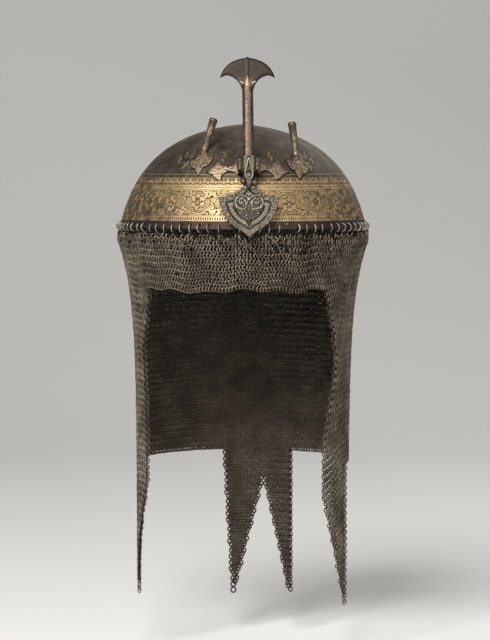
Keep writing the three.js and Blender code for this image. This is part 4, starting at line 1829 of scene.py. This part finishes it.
@dataclass(frozen=True)
class GiltSteel:
    """Worn gilding over brown steel, darker in the hollows of its relief, and near black as painted shadow
    where the relief number is lowest.
    """

    name: str = "gilt_steel"
    gilding: float = 0.7
    steel: Colour = (0.075, 0.052, 0.04)

    def material(self) -> bpy.types.Material:
        """Builds the material.

        Returns:
            The material.
        """
        bench = Bench(self.name)
        relief = bench.relief()
        patch = bench.noise(5.0, 5.0)
        speck = bench.noise(1.5, 5.0, shift=6.0)
        copper = bench.noise(3.0, 4.0, shift=19.0)
        wear = 0.30 + (patch - 0.5) * 0.8 + (speck - 0.5) * 2.0 + relief * 0.65
        kept = wear.ramp(0.85 - self.gilding * 0.6, 1.15 - self.gilding * 0.6)
        gold = bench.paint((0.47, 0.34, 0.24), (copper.ramp(0.35, 0.65), (0.52, 0.40, 0.23)))
        colour = bench.paint(
            self.steel,
            (copper.ramp(0.45, 0.65), (0.17, 0.115, 0.08)),
            (kept * 0.85, gold),
            # Near black where the relief number is below about 0.3: painted shadow along the wings' lower
            # edge.
            ((relief * -1.0).ramp(-0.3, -0.05), (0.02, 0.014, 0.01)),
        )
        rough = 0.56 - kept * 0.12
        return bench.finish(colour, 0.93, rough, kept * 0.5 + speck * 0.4, 0.1)


@dataclass
class Bracket:
    """The sleeve that the bar slides in, its lobes and cheeks, and the scalloped plate on the dome."""

    bottom: float = 47.5
    top: float = 60.5
    half: float = 5.8
    front: float = 4.1
    back: float = 3.4
    bevel: float = 1.9
    bevel_depth: float = 2.2
    clearance: float = 0.4
    lobe: float = 2.6
    lobe_out: float = 7.1
    lobe_front: float = -0.4
    cheek: float = 1.1
    gap: float = 0.3
    plate: float = 1.2

    def sleeve(self) -> tuple[Array, Array]:
        """The sleeve: a tube whose bore fits round the bar.

        Returns:
            Points and faces.
        """
        bar = NasalBar()

        def ring(*right: Span) -> Array:
            """Mirrors the points of a ring's right half and puts eight points on each of its sides."""
            corners = np.array([(-right[0][0], right[0][1]), *right, *((-x, y) for x, y in right[:0:-1])])
            t = np.linspace(0, 1, 8, endpoint=False)[:, None]
            sides = [a + (b - a) * t for a, b in zip(corners, np.roll(corners, -1, axis=0))]
            return np.concatenate(sides)[::-1]

        inner = ring(
            (bar.facet + 0.2, -bar.front - self.clearance),
            (bar.half + self.clearance, -bar.edge),
            (bar.half + self.clearance, bar.back + self.clearance),
        )
        outer = ring(
            (self.half - self.bevel, -self.front),
            (self.half, -self.front + self.bevel_depth),
            (self.half, self.back),
        )
        marks = [(0.0, -0.35), (0.35, 0.0), (1.6, 0.0), (1.9, -0.3), (2.2, -0.3), (2.5, 0.0)]
        high = self.top - self.bottom
        marks += [(high - a, b) for a, b in marks[::-1]]
        rows = [np.column_stack([inner, np.full(len(inner), self.bottom)])]
        for rise, out in marks:
            size = 1 + out / self.half
            rows.append(np.column_stack([outer * size, np.full(len(outer), self.bottom + rise)]))
        rows.append(np.column_stack([inner, np.full(len(inner), self.top)]))
        return swept(np.array(rows), closed=True)

    def lobes(self) -> list[tuple[Array, Array]]:
        """Two turned columns beside the sleeve, with rings and pointed ends.

        Returns:
            Points and faces of each.
        """
        turn = circle(24)
        # Heights above the sleeve's foot, and shares of the lobe's radius.
        profile = [
            (0.0, 0.15), (0.5, 0.35), (1.1, 0.75), (1.6, 0.95), (2.0, 0.8), (2.4, 0.96), (3.6, 0.9),
            (4.0, 1.0), (4.4, 0.88), (4.9, 1.0), (5.3, 0.9), (6.5, 0.86), (7.7, 0.9), (8.1, 1.0),
            (8.6, 0.88), (9.0, 1.0), (9.4, 0.9), (10.6, 0.96), (11.0, 0.8), (11.4, 0.95), (11.9, 0.75),
            (12.5, 0.35), (13.0, 0.15),
        ]
        parts = []
        for side in (-1, 1):
            rows = []
            for rise, share in profile:
                reach = self.lobe * share
                x = np.clip(reach * np.cos(turn) * side, -1.25, None) * side
                y = self.lobe_front + reach * np.sin(turn) * side
                rows.append(spots(side * self.lobe_out + x, y, self.bottom + rise))
            points, faces = swept(np.array(rows))
            parts.append((points, faces if side > 0 else faces[:, ::-1]))
        return parts

    def cheeks(self) -> list[tuple[Array, Array]]:
        """Two plates that run back from the lobes to the dome, cut to its curve.

        Returns:
            Points and faces of each.
        """
        parts = []
        reach = np.linspace(0, 60, 600)
        thick = self.cheek * (1 - 0.25 * np.sin(np.linspace(0, math.pi, 10)))
        for side in (-1, 1):
            x = side * self.lobe_out
            front, back = [], []
            for z in np.linspace(self.bottom + 1.2, self.top - 1.2, 12):
                line = SLIDE.place(spots(x, reach, z))
                radius, _, _ = DOME.at_height(line[:, 2], self.gap + self.plate / 2)
                end = reach[np.argmax(np.hypot(line[:, 0], line[:, 1]) < radius)]
                steps = np.linspace(self.lobe_front, end, 10)
                front.append(spots(x - thick, steps, z))
                back.append(spots(x + thick, steps, z))
            parts.append(closed_grid(np.array(front)[:, ::-1], np.array(back)[:, ::-1]))
        return parts

    def wings(self) -> tuple[Array, list, Array]:
        """The scalloped plate on the dome, with engraved leaves.

        Returns:
            Points, faces and each point's relief.
        """
        lower = Outline(
            (0, 43.5),
            (9, 43.5),
            (14, 49.5, 20.5, 43.2),
            (22.3, 38.9),
            (26.5, 39.6, 30, 43.8),
            (34.6, 45),
        )
        upper = Outline(
            (0, 56),
            (9, 56),
            (11, 51.3, 16, 51.3),
            (22.5, 51.5, 23.6, 56),
            (27, 51, 34.6, 45.1),
        )
        x, z = upper.along(lower, 31, 181)
        gaps, runs = zip(*(o.distance(x, z) for o in (upper, lower)))
        gap, run = np.minimum(*gaps), np.where(gaps[0] < gaps[1], runs[0], runs[1])
        bead = swell(gap, 0.75, 0.35)
        leaves = 0.5 + 0.5 * np.sin(TURN * run / 3.4) * np.cos(gap * 1.5)
        fade = np.clip((gaps[0] - 0.5) / 3.5, 0, 1)
        shade = np.clip(0.22 + 0.4 * fade + 0.1 * bead * fade + 0.3 * leaves * (gap > 1.3) * fade, 0, 1)
        # Towards the lower outline the relief falls to 0, which the finish paints near black: painted shadow
        # under the plate's lower edge.
        shade = shade * np.clip((gaps[1] - 0.1) / 0.8, 0, 1)
        radius, _, _ = DOME.at_height(z)
        around = np.degrees(np.arcsin(x / radius))
        rim = np.clip(gap / 0.5, 0, 1)
        thin = 0.3 + 0.7 * np.clip(gaps[0] / 1.6, 0, 1)
        out = self.gap + self.plate * thin * (0.72 + 0.28 * rim * (0.5 * bead + 0.5 * leaves))
        return plate(DOME.lay(around, z, out), DOME.lay(around, z, self.gap)[::10], shade)

    def build(self) -> None:
        """Builds the bracket's frame and its plate."""
        steel = ChiselledSteel("bracket_steel", (0.27, 0.25, 0.205)).material()
        points, faces = joined(self.sleeve(), *self.lobes(), *self.cheeks())
        side, front = np.abs(points[:, 0]), -points[:, 1]
        turned = np.hypot(side - self.lobe_out, front + self.lobe_front) / self.lobe
        # The frame lightens the further forward its points stand: painted light on the sleeve's front,
        # painted shade along the cheeks as they run back into the gap at the dome.
        tone = np.clip(0.08 + front * 0.075, 0.03, 0.6)
        # The lobes are lightened and the hollows of their rings darkened: painted highlight and painted
        # shade.
        grooved = (side > self.half + 0.2) & (turned < 1.05)
        tone = np.where(grooved, tone * np.clip((turned - 0.82) / 0.14, 0.1, 1.0) * 1.5, tone)
        # A black strip down the middle of the sleeve's front: painted shadow of a slot that the mesh does
        # not cut.
        tone = np.where((side < 1.1) & (front > 3.9), 0.0, tone)
        frame = make_piece("bracket_frame", SLIDE.place(points), faces, steel, Body.HELMET, tone, 35)
        gilt = GiltSteel("wing_steel", 0.62, (0.115, 0.082, 0.07)).material()
        points, faces, shade = self.wings()
        wings = make_piece("bracket_wings", points, faces, gilt, Body.HELMET, shade, 45)
        for piece in (frame, wings):
            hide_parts("nasal_bracket")


@dataclass
class Catch:
    """The wishbone spring in front of the sleeve, with its rivet and its button."""

    back: float = 4.4
    thick: float = 1.3
    top: float = 57.5
    button: float = 43.6
    wire: float = 0.7
    arm: tuple[Span, ...] = (
        (0.8, 57.5), (0.9, 55.0), (1.3, 52.6), (1.9, 50.5), (2.5, 48.6), (3.0, 46.6),
        (3.2, 44.8), (2.8, 43.0), (1.9, 41.6), (0.9, 40.8), (0.0, 40.6),
    )

    def build(self) -> None:
        """Builds the catch."""
        middle = -(self.back + self.thick / 2)
        half = np.array(self.arm)
        loop = np.concatenate([half * (1, 1), half[-2::-1] * (-1, 1)])
        path = spots(loop[:, 0], middle, loop[:, 1])
        face = self.back + self.thick
        points, faces = joined(
            bent_loop(path, self.wire, self.thick / 2),
            dome_stud(0, self.top - 0.3, face - 0.7, 1.7, 0.5),
            dome_stud(0, self.top - 0.3, face - 0.2, 1.05, 1.1),
            dome_stud(0, self.button, self.back + 0.2, 2.4, 0.4),
            dome_stud(0, self.button, self.back + 0.3, 1.15, 2.6),
        )
        steel = ChiselledSteel("catch_steel", (0.50, 0.46, 0.39)).material()
        # The catch lightens the further forward its points stand: painted highlight on the rivet, the button
        # and the arms' fronts, painted shade towards the sleeve.
        tone = np.clip((-points[:, 1] - self.back) * 0.42, 0.03, 1.0)
        piece = make_piece("catch_wishbone", SLIDE.place(points), faces, steel, Body.HELMET, tone)
        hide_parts("nasal_catch")


# ---- Plume holders ----


@dataclass
class PlumeHolder:
    """A tube for a plume, on a leaf-shaped plate that lies on the dome."""

    side: str
    around: float
    height: float
    lean: float
    turn: float
    length: float = 29.5
    top_radius: float = 3.2
    foot_radius: float = 2.3
    lip: float = 0.4
    bore: float = 2.2
    bore_depth: float = 24.0
    leaf_length: float = 19.5
    leaf_half: float = 10.2
    gap: float = 0.3
    plate: float = 1.2
    sides: int = 28
    bright_rows: int = 11

    def tube(self) -> tuple[Array, Array]:
        """The tube: its foot is cut to the dome and its mouth is open.

        Returns:
            Points and faces.
        """
        turn = circle(self.sides)
        rim, mouth = self.top_radius + self.lip, self.length
        outside = [(self.foot_radius, 2.0), (self.foot_radius + 0.25, 2.6), (self.foot_radius, 3.2)]
        for share in np.linspace(0.1, 1, 9):
            outside.append((self.top_radius - 1.05 * (1 - share) ** 1.8, 3.2 + (mouth - 7.5) * share))
        outside += [
            (rim - 0.2, mouth - 3.4),
            (rim, mouth - 2.5),
            (rim - 0.1, mouth - 1.7),
            (rim - 0.45, mouth - 0.9),
            (rim - 0.9, mouth - 0.35),
            (self.bore + 0.1, mouth - 0.02),
            (self.bore - 0.1, mouth - 0.3),
            (self.foot_radius / 2 + 0.4, mouth - self.bore_depth + 1),
            (0.12, mouth - self.bore_depth),
        ]
        cos, sin = math.cos(math.radians(self.lean)), math.sin(math.radians(self.lean))
        reach = float(DOME.at_height(np.array(self.height))[0]) + self.plate + 2 * self.gap
        at = math.radians(self.around)
        foot = np.array([reach * math.sin(at), -reach * math.cos(at), self.height])

        def lift(radius: Array | float, z: Array | float) -> Array:
            """Points round the tube at a height along it."""
            x, y = radius * np.cos(turn), radius * np.sin(turn)
            return spots(x * cos + z * sin, y, z * cos - x * sin) + foot

        low, high = np.full(self.sides, -6.0), np.full(self.sides, 1.9)
        for _ in range(30):
            half = (low + high) / 2
            place = lift(self.foot_radius, half)
            radius, _, _ = DOME.at_height(place[:, 2], self.gap + self.plate - 0.1)
            inside = np.hypot(place[:, 0], place[:, 1]) < radius
            low, high = np.where(inside, half, low), np.where(inside, high, half)
        return swept(np.array([lift(self.foot_radius, high)] + [lift(r, z) for r, z in outside]))

    def leaf(self) -> tuple[Array, list, Array]:
        """The leaf-shaped plate.

        Returns:
            Points, faces and each point's relief.
        """
        low = -self.leaf_length
        edge = Outline(
            (0, low),
            (3.2, low + 3.5, 3.6, low + 5.8),
            (5.2, low + 6.2),
            (9.4, low + 8, self.leaf_half, -6),
            (3.8, -6, 2.8, 1),
        )
        x, z = edge.across(71, 37, edge=0.35, wave=2.3)
        gap, _ = edge.distance(x, z)
        bead, rib = swell(gap, 0.8, 0.35), swell(x, 0, 0.55)
        veins = (0.5 + 0.5 * np.cos(TURN * (z + 0.9 * np.abs(x)) / 2.6)) * (gap > 1.4)
        shade = np.clip(0.34 + 0.25 * bead + 0.35 * rib + 0.35 * veins, 0, 1) * np.clip(gap / 0.9, 0, 1)
        cos, sin = math.cos(math.radians(self.turn)), math.sin(math.radians(self.turn))
        across, height = x * cos + z * sin, z * cos - x * sin + self.height
        radius, _, _ = DOME.at_height(height)
        around = self.around + np.degrees(np.arcsin(across / radius))
        out = self.gap + self.plate * (0.7 + 0.3 * np.clip(gap / 0.5, 0, 1) * np.clip(shade, 0, 1))
        return plate(DOME.lay(around, height, out), DOME.lay(around, height, self.gap)[:, ::6], shade)

    def build(self) -> None:
        """Builds the plate and the tube."""
        points, faces, shade = self.leaf()
        name = f"plume_leaf_{self.side}"
        gilt = GiltSteel(name, 0.62, (0.115, 0.085, 0.07)).material()
        leaf = make_piece(name, points, faces, gilt, Body.HELMET, shade, 45)
        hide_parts(f"plume_base_{self.side}")
        points, faces = self.tube()
        gilt = GiltSteel(f"plume_tube_{self.side}", 0.5, (0.105, 0.078, 0.06)).material()
        tone = np.where(np.arange(len(points)) // self.sides < self.bright_rows, 0.42, 0.2)
        tube = make_piece(f"plume_socket_{self.side}", points, faces, gilt, Body.HELMET, tone, 50)
        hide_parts(f"plume_tube_{self.side}")


# ---- Studio ----


@dataclass
class Studio:
    """The camera, the floor and the lights, in metres, degrees and watts."""

    azimuth: float = -2.7
    distance: float = 2.5
    camera_height: float = 0.06
    aim_height: float = -0.0795
    aim_side: float = 0.0017
    field: float = 12.3536
    floor: float = -0.36
    paper: Colour = (0.76, 0.75, 0.73)
    air: Colour = (0.84, 0.82, 0.79)
    air_strength: float = 0.29
    lights: tuple[tuple, ...] = (
        ("key", (-0.55, -1.45, 1.15), 0.8, 54.0),
        ("fill", (1.4, -1.3, 0.35), 1.4, 7.0),
        ("back", (0.9, 1.3, 1.2), 1.0, 10.0),
    )

    def build(self) -> None:
        """Builds the whole studio."""
        self.camera()
        self.backdrop()
        for light in self.lights:
            self.light(*light)
        world = bpy.data.worlds.new("studio")
        world.use_nodes = True
        background = world.node_tree.nodes["Background"]
        background.inputs["Color"].default_value = (*self.air, 1.0)
        background.inputs["Strength"].default_value = self.air_strength
        bpy.context.scene.world = world
        bpy.context.scene.view_settings.view_transform = "Standard"

    def camera(self) -> None:
        """Places the camera."""
        turn = math.radians(self.azimuth)
        lens = bpy.data.cameras.new("camera")
        lens.sensor_fit = "VERTICAL"
        lens.angle = math.radians(self.field)
        lens.clip_start, lens.clip_end = 0.05, 50.0
        camera = put("camera", lens)
        side = Vector((math.cos(turn), math.sin(turn), 0.0)) * self.aim_side
        aim = Vector((0.0, 0.0, self.aim_height)) + side
        place = Vector((self.distance * math.sin(turn), -self.distance * math.cos(turn), self.camera_height))
        camera.location = place + side
        camera.rotation_euler = (aim - camera.location).to_track_quat("-Z", "Y").to_euler()
        bpy.context.scene.camera = camera

    def backdrop(self) -> None:
        """Makes the pale floor, which curves up behind the helmet."""
        depth = [(-4.0, 0.0), (1.6, 0.0)]
        depth += [(1.6 + math.sin(a) * 1.2, 1.2 - math.cos(a) * 1.2) for a in np.linspace(0.15, 1.57, 12)]
        depth.append((2.8, 5.0))
        points = np.array([(x, y, self.floor + z) for y, z in depth for x in (-6.0, 6.0)])
        mesh = bpy.data.meshes.new("floor")
        mesh.from_pydata(points.tolist(), [], grid_faces(len(depth), 2).tolist())
        mesh.shade_smooth()
        mesh.materials.append(Bench("floor").finish(self.paper, 0.0, 0.9))
        put("floor", mesh)

    def light(self, name: str, place: tuple[float, ...], size: float, power: float) -> None:
        """Adds a soft square light aimed at the helmet.

        Args:
            name: its name.
            place: where it stands, in metres.
            size: its side, in metres.
            power: its strength in watts.
        """
        lamp = bpy.data.lights.new(name, "AREA")
        lamp.size = size
        lamp.energy = power
        light = put(name, lamp)
        light.location = place
        light.rotation_euler = (Vector((0, 0, -0.05)) - Vector(place)).to_track_quat("-Z", "Y").to_euler()


def main() -> None:
    """Builds the studio and then the helmet, piece by piece."""
    logging.basicConfig(level=logging.INFO, format="%(name)s %(message)s", stream=sys.stdout)
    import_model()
    Studio().build()
    plumes = (
        PlumeHolder("left", around=-30, height=62, lean=17, turn=-10),
        PlumeHolder("right", around=33, height=58, lean=-7, turn=20),
    )
    helmet = (Bowl(), HangingRings(), MailCurtain(), Bracket(), Catch(), *plumes)
    for assembly in (*helmet, NasalBar(), NasalLeaf()):
        assembly.build()


if __name__ == "__main__":
    main()
